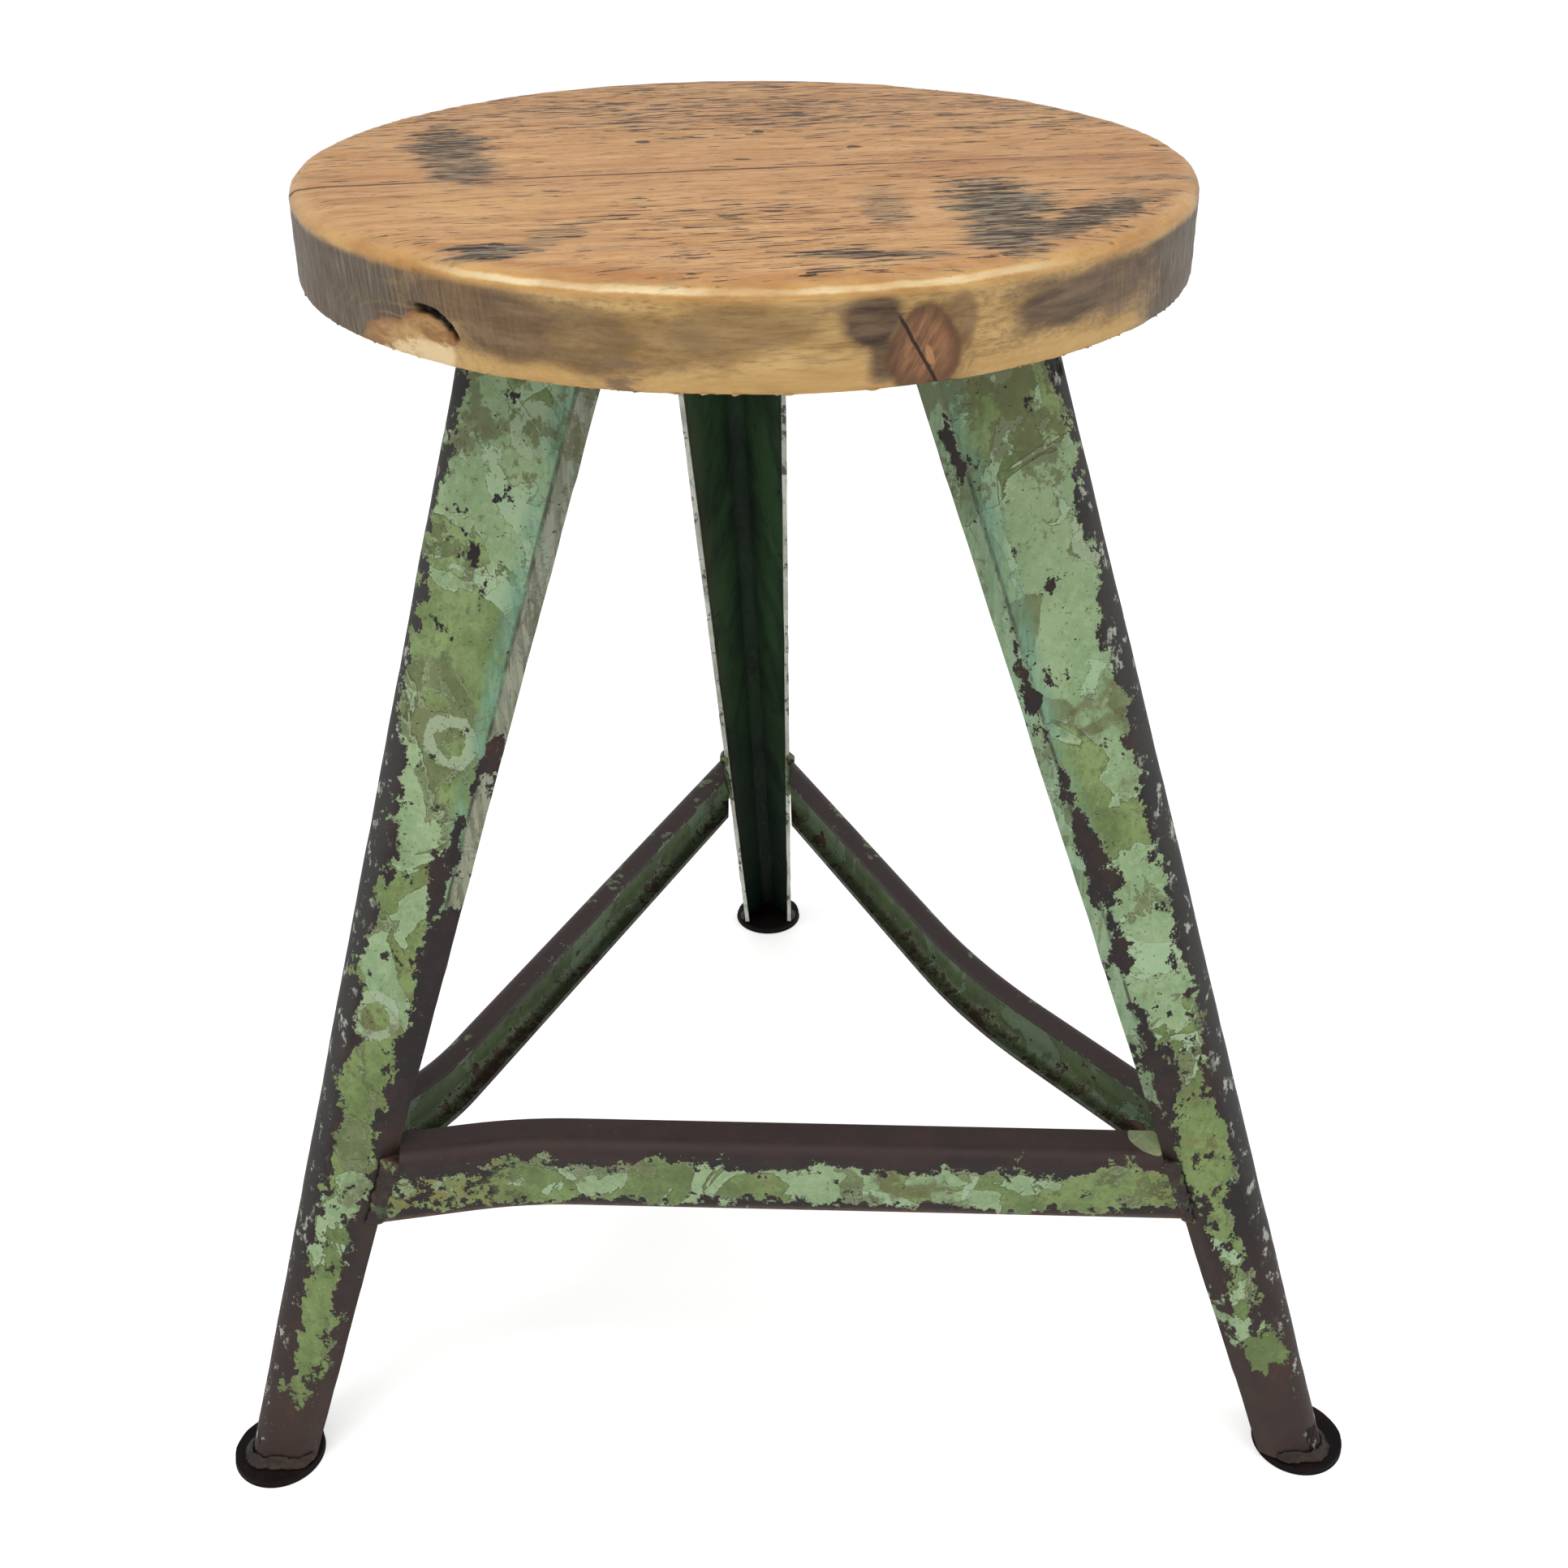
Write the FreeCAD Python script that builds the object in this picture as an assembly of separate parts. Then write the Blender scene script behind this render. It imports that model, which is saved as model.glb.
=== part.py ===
import FreeCAD, Part
import math
import os
from FreeCAD import Vector

# Tripod stool: a round seat of two pine boards on three folded plate legs,
# tied low down by three channel stretchers and standing on round foot discs.
# Lengths are millimetres, +Z is up, and the origin lies on the floor in the middle of the feet.
# The photographed side faces -Y: the left and right legs stand in front, the third behind.

# Seat
seat_diameter = 330.0
seat_height = 543.6
seat_thickness = 35.5
seat_thickness_back = 30.4
seat_top_round = 5.5
seat_bottom_round = 3.0
seat_shift = 7.9
seat_setback = 2.4
glue_line_setback = 14.6
glue_line_angle = 8.9

# Steel plate under the seat, and the screws that hold the boards to it
top_plate_diameter = 252.0
top_plate_thickness = 3.0
top_plate_round = 0.8
screw_circle = 170.0
screw_pairs = 3
screw_pair_angle = 34.0
screw_shank_diameter = 5.0
screw_length = 22.0
screw_head_diameter = 9.6
screw_head_height = 3.6
screw_head_round = 1.6
screw_slot_width = 1.4
screw_slot_depth = 1.5
screw_point_length = 5.0
washer_diameter = 16.0
washer_thickness = 1.5
hole_clearance = 0.25
pilot_clearance = 0.05

# Legs: a V of folded plate with a round nose outwards and a short straight lip along each edge.
# Reach is measured from the middle of the leg pattern to the nose, at the floor and at the seat.
leg_plate = 3.0
leg_reach_top = 116.0
leg_reach_foot = 284.3
leg_depth_top = 48.2
leg_depth_foot = 25.0
leg_width_top = 53.8
leg_width_foot = 29.4
leg_nose_radius = 7.2
leg_bend_radius = 8.0
leg_lip_top = 9.5
leg_lip_foot = 6.0

# Feet: round discs that lie flat on the floor under the leg ends
foot_diameter = 41.0
foot_thickness = 4.2
foot_rim_round = 1.5

# Stretchers: channels bent from plate, open towards the middle of the stool
stretcher_top = 163.8
front_stretcher_height = 37.2
back_stretcher_height = 33.0
front_flange_depth = 17.6
back_flange_depth = 14.0
low_flange_depth = 10.8
stretcher_plate = 2.6
stretcher_bend_radius = 7.0

# Weld beads
leg_weld = 2.4
foot_weld_width = 3.2
foot_weld_height = 4.6
weld_edge = 0.2
stretcher_weld = 2.2

# Overrun of cutting shapes past the surface that they cut
overrun = 6.0

# One row for each leg: name, direction in degrees, extra reach at the foot, sideways lean at the top,
# sideways slip of the foot disc, and whether the stretchers' flanges run on past the leg's lips.
# The old frame is no longer quite true, and these are its measured errors.
left_foot_error = -9.5
right_foot_error = 1.2
back_foot_error = 14.5
front_lean = -8.5
back_lean = 19.0
right_disc_slip = 4.0
leg_rows = (
    ("left", 210.0, left_foot_error, front_lean, 0.0, True),
    ("right", 330.0, right_foot_error, front_lean, right_disc_slip, True),
    ("back", 90.0, back_foot_error, back_lean, 0.0, False),
)

# One row for each stretcher, running clockwise seen from above: name, leg at its start, leg at its end,
# height, depth of the upper flange, inward offset from the leg's edge at the start, at the bend and
# at the end, share of the run at which the bend lies, and radius of the bend.
front_bend_offset = 7.8
front_end_offset = -4.0
left_start_offset = 4.0
left_bend_offset = 14.0
right_start_offset = 2.2
right_bend_offset = 24.4
right_end_offset = 4.0
front_bend_share = 0.82
left_bend_share = 0.135
right_bend_share = 0.616
front_sweep_radius = 200.0
left_sweep_radius = 110.0
right_sweep_radius = 330.0
stretcher_rows = (
    ("front", "right", "left", front_stretcher_height, front_flange_depth,
     0.0, front_bend_offset, front_end_offset, front_bend_share, front_sweep_radius),
    ("left", "left", "back", back_stretcher_height, back_flange_depth,
     left_start_offset, left_bend_offset, 0.0, left_bend_share, left_sweep_radius),
    ("right", "back", "right", back_stretcher_height, back_flange_depth,
     right_start_offset, right_bend_offset, right_end_offset, right_bend_share, right_sweep_radius),
)

seat_underside = seat_height - seat_thickness
plate_underside = seat_underside - top_plate_thickness
stretcher_middle = stretcher_top - back_stretcher_height / 2
stretcher_reach = 3 * leg_width_top


def mix(low, high, share):
    """The value at a share of the way from low to high."""
    return low + (high - low) * share


def wire_of(points_and_arcs):
    """A closed wire from a list of edges that already meet end to end."""
    return Part.Wire(Part.__sortEdges__(points_and_arcs))


class Leg:
    """Where one leg stands, and its level cross-section at any height."""

    def __init__(self, name, direction, foot_error, lean, disc_slip, flanges_run_past):
        self.name = name
        self.disc_slip = disc_slip
        self.flanges_run_past = flanges_run_past
        angle = math.radians(direction)
        self.out = Vector(math.cos(angle), math.sin(angle), 0)
        self.side = Vector(-math.sin(angle), math.cos(angle), 0)
        self.foot_nose = self.out * (leg_reach_foot + foot_error)
        self.top_nose = self.out * leg_reach_top + self.side * lean + Vector(0, 0, seat_underside)

    def sizes(self, level):
        share = level / seat_underside
        return {
            "nose": mix(self.foot_nose, self.top_nose, share),
            "depth": mix(leg_depth_foot, leg_depth_top, share),
            "half": mix(leg_width_foot, leg_width_top, share) / 2,
            "lip": mix(leg_lip_foot, leg_lip_top, share),
        }

    def centre(self, level):
        size = self.sizes(level)
        return size["nose"] - self.out * (size["depth"] / 2)

    def lip_corner(self, level, hand):
        """The point on the outer face where the lip starts, on the side given by hand (+1 or -1)."""
        size = self.sizes(level)
        return size["nose"] - self.out * (size["depth"] - size["lip"]) + self.side * (hand * size["half"])

    def side_line(self, size, grow, reach_in):
        """Points down one side of the section, from the lip's end round the bend to the nose.
        Each is (towards the nose, sideways). A negative grow gives the inner face."""
        nose_r = leg_nose_radius + grow
        bend_r = leg_bend_radius + grow
        nose_c = (-leg_nose_radius, 0.0)
        bend_c = (size["lip"] - size["depth"], size["half"] - leg_bend_radius)
        run = nose_c[0] - bend_c[0]
        rise = bend_c[1] - nose_c[1]
        gap = leg_nose_radius - leg_bend_radius
        slope = math.atan2(rise, run) - math.asin(gap / math.hypot(run, rise))

        def on(centre, radius, angle):
            return (centre[0] + radius * math.sin(angle), centre[1] + radius * math.cos(angle))

        return {
            "lip_end": (-size["depth"] - reach_in, size["half"] + grow),
            "bend_start": on(bend_c, bend_r, 0.0),
            "bend_mid": on(bend_c, bend_r, slope / 2),
            "bend_end": on(bend_c, bend_r, slope),
            "nose_start": on(nose_c, nose_r, slope),
            "nose_tip": (nose_c[0] + nose_r, 0.0),
        }

    def face_edges(self, level, grow, reach_in):
        """Edges of the outer or inner face of the section, and its two end points."""
        size = self.sizes(level)
        line = self.side_line(size, grow, reach_in)

        def at(name, hand):
            along, across = line[name]
            return size["nose"] + self.out * along + self.side * (across * hand)

        edges = [
            Part.makeLine(at("lip_end", 1), at("bend_start", 1)),
            Part.Arc(at("bend_start", 1), at("bend_mid", 1), at("bend_end", 1)).toShape(),
            Part.makeLine(at("bend_end", 1), at("nose_start", 1)),
            Part.Arc(at("nose_start", 1), at("nose_tip", 1), at("nose_start", -1)).toShape(),
            Part.makeLine(at("nose_start", -1), at("bend_end", -1)),
            Part.Arc(at("bend_end", -1), at("bend_mid", -1), at("bend_start", -1)).toShape(),
            Part.makeLine(at("bend_start", -1), at("lip_end", -1)),
        ]
        return edges, at("lip_end", 1), at("lip_end", -1)

    def plate_wire(self, level, grow=0.0):
        """The folded plate's section. A positive grow thickens it on every side."""
        outer, outer_plus, outer_minus = self.face_edges(level, grow, grow)
        inner, inner_plus, inner_minus = self.face_edges(level, -leg_plate - grow, grow)
        ends = [Part.makeLine(outer_plus, inner_plus), Part.makeLine(outer_minus, inner_minus)]
        return wire_of(outer + inner + ends)

    def filled_wire(self, level, grow, reach_in):
        """The section closed across its open side, which reaches inwards past the lips."""
        outer, plus, minus = self.face_edges(level, grow, reach_in)
        return wire_of(outer + [Part.makeLine(plus, minus)])

    def lip_end(self, level, hand):
        """The point on the outer face where the lip ends."""
        return self.lip_corner(level, hand) - self.out * self.sizes(level)["lip"]

    def foot_centre(self):
        """Middle of the foot disc's upper face, under the middle of the leg."""
        return self.centre(foot_thickness) + self.side * self.disc_slip


legs = {row[0]: Leg(*row) for row in leg_rows}


def seat_board(front):
    """One of the two boards: half of the rounded disc, cut along the glue line and drilled for its screws.
    The disc is planed thinner towards the back."""
    disc = Part.makeCylinder(seat_diameter / 2, seat_thickness, Vector(0, 0, seat_underside))
    slope = math.atan2(seat_thickness - seat_thickness_back, seat_diameter)
    planed_off = Part.makeBox(2 * seat_diameter, 2 * seat_diameter, seat_thickness,
                              Vector(-seat_diameter, -seat_diameter / 2, seat_height))
    planed_off.rotate(Vector(0, -seat_diameter / 2, seat_height), Vector(1, 0, 0), -math.degrees(slope))
    disc = disc.cut(planed_off)
    rims = [edge for edge in disc.Edges if not isinstance(edge.Curve, Part.Line)]
    upper = [edge for edge in rims if edge.CenterOfMass.z > seat_height - seat_thickness / 2]
    lower = [edge for edge in rims if edge.CenterOfMass.z < seat_height - seat_thickness / 2]
    disc = disc.makeFillet(seat_top_round, upper).makeFillet(seat_bottom_round, lower)
    size = seat_diameter + 2 * overrun
    half = Part.makeBox(size, size, seat_thickness + 2 * overrun)
    half.translate(Vector(-size / 2, 0, seat_underside - overrun))
    if front:
        half.translate(Vector(0, -size, 0))
    half.rotate(Vector(0, 0, 0), Vector(0, 0, 1), glue_line_angle)
    half.translate(Vector(0, -glue_line_setback, 0))
    board = disc.common(half)
    for place in screw_places():
        pilot = screw_shank(place, pilot_clearance)
        if board.common(pilot).Volume > 0:
            board = board.cut(pilot)
    board.translate(seat_centre)
    return board


def screw_places():
    """Level places of the screws, in pairs between the legs."""
    places = []
    for pair in range(screw_pairs):
        middle = 2 * math.pi * (pair / screw_pairs + 1 / 12)
        for hand in (-1, 1):
            angle = middle + hand * math.radians(screw_pair_angle) / 2
            radius = screw_circle / 2
            places.append(Vector(radius * math.cos(angle), radius * math.sin(angle), 0))
    return places


def screw_shank(place, clearance=0.0):
    """Shank and point of a wood screw, standing up into the boards from under the washer."""
    radius = screw_shank_diameter / 2 + clearance
    washer_face = plate_underside - washer_thickness
    tip = washer_face + screw_length + clearance
    shank = Part.makeCylinder(radius, tip - screw_point_length - washer_face, place + Vector(0, 0, washer_face))
    point_base = place + Vector(0, 0, tip - screw_point_length)
    point = Part.makeCone(radius, radius / 5, screw_point_length, point_base)
    return shank.fuse(point).removeSplitter()


def seat_screws():
    """Slotted round-head wood screws, heads down."""
    screws = []
    for place in screw_places():
        washer_face = plate_underside - washer_thickness
        head_base = place + Vector(0, 0, washer_face - screw_head_height)
        head = Part.makeCylinder(screw_head_diameter / 2, screw_head_height, head_base)
        rim = [edge for edge in head.Edges if edge.CenterOfMass.z < washer_face - screw_head_height / 2]
        head = head.makeFillet(screw_head_round, [edge for edge in rim if isinstance(edge.Curve, Part.Circle)])
        slot = Part.makeBox(screw_head_diameter + 2 * overrun, screw_slot_width, screw_slot_depth + overrun)
        slot.translate(Vector(-screw_head_diameter / 2 - overrun, -screw_slot_width / 2, -overrun))
        slot.rotate(Vector(0, 0, 0), Vector(0, 0, 1), math.degrees(math.atan2(place.y, place.x)))
        slot.translate(head_base)
        screws.append(head.fuse(screw_shank(place)).removeSplitter().cut(slot))
    group = Part.makeCompound(screws)
    group.translate(seat_centre)
    return group


def seat_washers():
    """Plain washers between the screw heads and the plate."""
    washers = []
    for place in screw_places():
        base = place + Vector(0, 0, plate_underside - washer_thickness)
        ring = Part.makeCylinder(washer_diameter / 2, washer_thickness, base)
        bore = Part.makeCylinder(screw_shank_diameter / 2 + hole_clearance, washer_thickness, base)
        washers.append(ring.cut(bore))
    group = Part.makeCompound(washers)
    group.translate(seat_centre)
    return group


def top_plate():
    """Round steel plate that the legs are welded to and the seat is screwed to."""
    disc = Part.makeCylinder(top_plate_diameter / 2, top_plate_thickness, Vector(0, 0, plate_underside))
    rims = [edge for edge in disc.Edges if isinstance(edge.Curve, Part.Circle)]
    disc = disc.makeFillet(top_plate_round, [edge for edge in rims if edge.CenterOfMass.z < seat_underside
                                             - top_plate_thickness / 2])
    for place in screw_places():
        base = place + Vector(0, 0, plate_underside)
        radius = screw_shank_diameter / 2 + hole_clearance
        disc = disc.cut(Part.makeCylinder(radius, top_plate_thickness, base))
    disc.translate(seat_centre)
    return disc


def leg_shape(leg):
    """The folded plate, lofted past both ends and trimmed to the top plate and the foot disc."""
    low = foot_thickness - overrun
    high = plate_underside + overrun
    plate = Part.makeLoft([leg.plate_wire(low), leg.plate_wire(high)], True, True)
    size = 2 * leg_reach_foot
    room = Part.makeBox(2 * size, 2 * size, plate_underside - foot_thickness)
    room.translate(Vector(-size, -size, foot_thickness))
    return plate.common(room)


def foot_disc(leg):
    """Flat round disc with rounded rims, lying on the floor."""
    base = leg.foot_centre() - Vector(0, 0, foot_thickness)
    disc = Part.makeCylinder(foot_diameter / 2, foot_thickness, base)
    rims = [edge for edge in disc.Edges if isinstance(edge.Curve, Part.Circle)]
    return disc.makeFillet(foot_rim_round, rims)


def foot_weld_bead(leg, leg_solid):
    """Fillet all round the leg's end on the disc, thinning out as it climbs the plate."""
    low = leg.plate_wire(foot_thickness, foot_weld_width)
    high = leg.plate_wire(foot_thickness + foot_weld_height, weld_edge)
    ring = Part.makeLoft([low, high], True, True)
    land = Part.makeCylinder(foot_diameter / 2 - foot_rim_round, foot_weld_height, leg.foot_centre())
    return biggest(ring.common(land).cut(leg_solid))


def top_weld_bead(leg, leg_solid):
    """Fillet round the leg's upper end, against the underside of the top plate."""
    low = leg.plate_wire(plate_underside - leg_weld, weld_edge)
    high = leg.plate_wire(plate_underside, leg_weld)
    return biggest(Part.makeLoft([low, high], True, True).cut(leg_solid))


def biggest(shape):
    """The largest solid of a cut, without the crumbs."""
    return max(shape.Solids, key=lambda solid: solid.Volume)


def channel_wire(origin, inward, height, depth, grow=0.0):
    """The stretcher's section, upright, with its outer face through origin and its flanges inwards."""
    top_depth = depth + grow
    low_depth = low_flange_depth + grow
    half = height / 2 + grow
    bend = stretcher_bend_radius + grow
    plate = stretcher_plate + 2 * grow
    start = -grow

    def at(along, height):
        return origin + inward * along + Vector(0, 0, height)

    def corner(inset, hand):
        radius = bend - inset
        place = start + inset
        level = half - inset
        close = radius * (1 - math.sqrt(0.5))
        return (
            at(start + bend, hand * level),
            at(place + close, hand * (level - close)),
            at(place, hand * (half - bend)),
        )

    outer_top = corner(0.0, 1)
    outer_low = corner(0.0, -1)
    inner_top = corner(plate, 1)
    inner_low = corner(plate, -1)
    edges = [
        Part.makeLine(at(top_depth, half), outer_top[0]),
        Part.Arc(*outer_top).toShape(),
        Part.makeLine(outer_top[2], outer_low[2]),
        Part.Arc(*outer_low).toShape(),
        Part.makeLine(outer_low[0], at(low_depth, -half)),
        Part.makeLine(at(low_depth, -half), at(low_depth, plate - half)),
        Part.makeLine(at(low_depth, plate - half), inner_low[0]),
        Part.Arc(*inner_low).toShape(),
        Part.makeLine(inner_low[2], inner_top[2]),
        Part.Arc(*inner_top).toShape(),
        Part.makeLine(inner_top[0], at(top_depth, half - plate)),
        Part.makeLine(at(top_depth, half - plate), at(top_depth, half)),
    ]
    return wire_of(edges)


class Stretcher:
    """The level line of one channel's outer face, and the two leg edges that it runs between."""

    def __init__(self, name, start_leg, end_leg, height, depth, start_offset, bend_offset, end_offset,
                 bend_share, sweep_radius):
        self.name = name
        self.height = height
        self.depth = depth
        level = stretcher_top - height / 2
        start = legs[start_leg].lip_corner(stretcher_middle, -1)
        end = legs[end_leg].lip_corner(stretcher_middle, 1)
        run = end - start
        chord = Vector(run).normalize()
        inward = Vector(chord.y, -chord.x, 0)
        corner = start + chord * (run.Length * bend_share) + inward * bend_offset
        start = start + inward * start_offset
        end = end + inward * end_offset
        start.z = corner.z = end.z = level
        first = (corner - start).normalize()
        second = (end - corner).normalize()
        turn = first.getAngle(second)
        tangent = sweep_radius * math.tan(turn / 2)
        arc_start = corner - first * tangent
        arc_end = corner + second * tangent
        middle = (second - first).normalize()
        arc_middle = corner + middle * (sweep_radius / math.cos(turn / 2) - sweep_radius)
        self.origin = start - first * leg_width_foot
        self.inward = Vector(first.y, -first.x, 0)
        self.path = Part.Wire([
            Part.makeLine(self.origin, arc_start),
            Part.Arc(arc_start, arc_middle, arc_end).toShape(),
            Part.makeLine(arc_end, end + second * leg_width_foot),
        ])
        self.ends = ((legs[start_leg], -1, first * -1), (legs[end_leg], 1, second))
        self.ends_on = {start_leg: start, end_leg: end}

    def channel(self, grow=0.0):
        """The channel swept along the line, before its ends are trimmed."""
        section = channel_wire(self.origin, self.inward, self.height, self.depth, grow)
        return self.path.makePipeShell([section], True, False)

    def shape(self):
        """The channel between its legs. Its web meets the lips. Its flanges stop there too,
        or run on beside the lips and end in line with the lips' ends."""
        channel = self.channel()
        for leg, hand, travel in self.ends:
            past_lip = lip_block(leg, hand, 0.0, stretcher_reach)
            if leg.flanges_run_past:
                beyond = end_block(leg, hand, travel)
                if not self.stands_off(leg, hand, travel):
                    beyond = beyond.common(past_lip)
                past_lip = beyond.fuse(lip_block(leg, hand, 0.0, 0.0))
            channel = channel.cut(past_lip)
        return biggest(channel)

    def web_end(self, leg, hand, travel, level):
        """The point on the web's outer face in line with the lip's end."""
        across = Vector(travel.y, -travel.x, 0)
        lip_end = leg.lip_end(level, hand)
        return lip_end + across * (self.ends_on[leg.name] - lip_end).dot(across)

    def stands_off(self, leg, hand, travel):
        """Whether the web passes in front of the lip, so that a thick weld fills the gap."""
        web_end = self.web_end(leg, hand, travel, stretcher_middle)
        return leg.flanges_run_past and web_end.distanceToPoint(leg.lip_end(stretcher_middle, hand)) > stretcher_weld

    def weld_bead(self, leg, hand, travel, channel):
        """Bead at one end: a slope from the web down to the lip, or a thin bead
        in the corner that the channel makes with the leg."""
        if self.stands_off(leg, hand, travel):
            sections = []
            for level in (stretcher_top - self.height + stretcher_bend_radius / 2,
                          stretcher_top - stretcher_bend_radius / 2):
                corners = [leg.lip_end(level, hand), leg.lip_corner(level, hand),
                           self.web_end(leg, hand, travel, level)]
                sections.append(Part.makePolygon(corners + corners[:1]))
            return Part.makeLoft(sections, True, True)
        band = self.channel(stretcher_weld).common(leg_band(leg, stretcher_weld))
        band = band.cut(lip_block(leg, hand, -stretcher_weld, stretcher_reach))
        return biggest(band.cut(leg_band(leg, 0.0)).cut(channel))


def lip_block(leg, hand, shift, reach_in):
    """Everything on the leg's side of the plane of one lip's outer face, which is moved outwards by shift.
    The block runs from the nose's side of the leg to the lip's end, and past it by reach_in."""
    corners = []
    for level, along in ((0.0, -reach_in), (0.0, stretcher_reach), (plate_underside, stretcher_reach),
                         (plate_underside, -reach_in)):
        corners.append(leg.lip_end(level, hand) + leg.out * along + leg.side * (hand * shift))
    face = Part.Face(Part.makePolygon(corners + corners[:1]))
    return face.extrude(leg.side * (-hand * stretcher_reach))


def end_block(leg, hand, travel):
    """Everything past the line of one lip's end, cut square to the channel's run."""
    across = Vector(travel.y, -travel.x, 0)
    corners = []
    for level, share in ((0.0, -1), (0.0, 1), (plate_underside, 1), (plate_underside, -1)):
        corners.append(leg.lip_end(level, hand) + across * (share * stretcher_reach))
    face = Part.Face(Part.makePolygon(corners + corners[:1]))
    return face.extrude(travel * stretcher_reach)


def leg_band(leg, grow):
    """The leg closed across its open side, near the stretchers' level."""
    low = stretcher_top - 2 * front_stretcher_height
    high = stretcher_top + front_stretcher_height
    return Part.makeLoft([leg.filled_wire(low, grow, grow), leg.filled_wire(high, grow, grow)], True, True)


parts = {}
seat_centre = Vector(-seat_shift, seat_setback, 0)
parts["seat_board_front"] = seat_board(True)
parts["seat_board_back"] = seat_board(False)
parts["top_plate"] = top_plate()
parts["seat_screws"] = seat_screws()
parts["seat_washers"] = seat_washers()
for leg_name, leg_item in legs.items():
    parts["leg_" + leg_name] = leg_shape(leg_item)
    parts["foot_" + leg_name] = foot_disc(leg_item)
    parts["weld_top_" + leg_name] = top_weld_bead(leg_item, parts["leg_" + leg_name])
    parts["weld_foot_" + leg_name] = foot_weld_bead(leg_item, parts["leg_" + leg_name])
for row in stretcher_rows:
    stretcher = Stretcher(*row)
    parts["stretcher_" + stretcher.name] = stretcher.shape()
    for end_leg, end_hand, travel in stretcher.ends:
        bead = stretcher.weld_bead(end_leg, end_hand, travel, parts["stretcher_" + stretcher.name])
        parts["weld_" + stretcher.name + "_stretcher_" + end_leg.name] = bead

# The legs stand round their own pattern, and the whole stool is then moved so that its box is centred.
outline = Part.makeCompound([parts[name] for name in parts if name.startswith(("seat_board", "foot_"))])
box = outline.optimalBoundingBox(False)
to_origin = Vector(-(box.XMin + box.XMax) / 2, -(box.YMin + box.YMax) / 2, 0)

os.makedirs("parts", exist_ok=True)
for part_name, shape in parts.items():
    shape.translate(to_origin)
    shape.exportStep("parts/" + part_name + ".step")
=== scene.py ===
import math

import bmesh
import bpy
from mathutils import Color, Matrix, Vector


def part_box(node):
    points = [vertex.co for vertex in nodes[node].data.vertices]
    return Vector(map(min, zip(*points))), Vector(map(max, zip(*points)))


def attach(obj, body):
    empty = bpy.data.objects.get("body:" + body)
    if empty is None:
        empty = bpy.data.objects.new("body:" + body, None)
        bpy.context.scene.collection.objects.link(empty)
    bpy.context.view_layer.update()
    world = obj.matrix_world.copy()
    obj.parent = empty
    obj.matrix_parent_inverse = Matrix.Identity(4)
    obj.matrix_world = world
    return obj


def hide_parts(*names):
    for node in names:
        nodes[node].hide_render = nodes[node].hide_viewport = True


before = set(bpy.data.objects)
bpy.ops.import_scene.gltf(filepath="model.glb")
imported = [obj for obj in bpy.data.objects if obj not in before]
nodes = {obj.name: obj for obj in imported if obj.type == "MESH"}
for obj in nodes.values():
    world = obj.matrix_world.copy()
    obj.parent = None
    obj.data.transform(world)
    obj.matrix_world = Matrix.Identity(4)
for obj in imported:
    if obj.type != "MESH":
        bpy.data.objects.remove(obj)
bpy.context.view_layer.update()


# Camera, floor and light. The stool was photographed from in front and a little above, on white.
# The camera's place, turn and lens come from the stool's own outlines in the picture.
# One large soft light above the front left, a small one overhead, a weaker one at the right, a pale sky all round.
camera_place = Vector((-0.011, -0.7733, 0.7018))
camera_yaw = 0.0159
camera_down = 0.5478
camera_roll = -0.0024
camera_lens = 42.9
film_width = 36

camera = bpy.data.objects.new("camera", bpy.data.cameras.new("camera"))
bpy.context.collection.objects.link(camera)
camera.matrix_world = (
    Matrix.Translation(camera_place)
    @ Matrix.Rotation(-camera_yaw, 4, "Z")
    @ Matrix.Rotation(math.pi / 2 - camera_down, 4, "X")
    @ Matrix.Rotation(camera_roll, 4, "Z")
)
camera.data.lens = camera_lens
camera.data.sensor_width = film_width
camera.data.clip_start = 0.01
bpy.context.scene.camera = camera

scene = bpy.context.scene
scene.view_settings.view_transform = "Standard"


def soft_light(name, place, aim, width, power, colour):
    """A square softbox that shines from place towards aim."""
    lamp = bpy.data.lights.new(name, "AREA")
    lamp.size = width
    lamp.energy = power
    lamp.color = colour
    holder = bpy.data.objects.new(name, lamp)
    bpy.context.collection.objects.link(holder)
    holder.location = place
    holder.rotation_euler = (Vector(aim) - Vector(place)).to_track_quat("-Z", "Y").to_euler()


soft_light("key_light", (-0.9, -1.1, 2.1), (0, -0.07, 0.35), 1.3, 15.5, (1.0, 0.985, 0.96))
soft_light("top_light", (0.05, -0.72, 1.9), (0, -0.2, 0.54), 0.3, 2.2, (1.0, 0.985, 0.96))
soft_light("side_light", (1.8, -0.5, 1.2), (0, -0.07, 0.3), 1.0, 7, (0.96, 0.98, 1.0))

scene.world = bpy.data.worlds.new("sky")
scene.world.use_nodes = True
sky = scene.world.node_tree
sky_rays = sky.nodes.new("ShaderNodeLightPath")
sky_level = sky.nodes.new("ShaderNodeMapRange")
sky_level.inputs["To Min"].default_value = 0.62
sky_level.inputs["To Max"].default_value = 1.0
sky.links.new(sky_rays.outputs["Is Camera Ray"], sky_level.inputs["Value"])
sky.links.new(sky_level.outputs[0], sky.nodes["Background"].inputs["Strength"])
sky.nodes["Background"].inputs["Color"].default_value = (1, 1, 1, 1)

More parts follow.
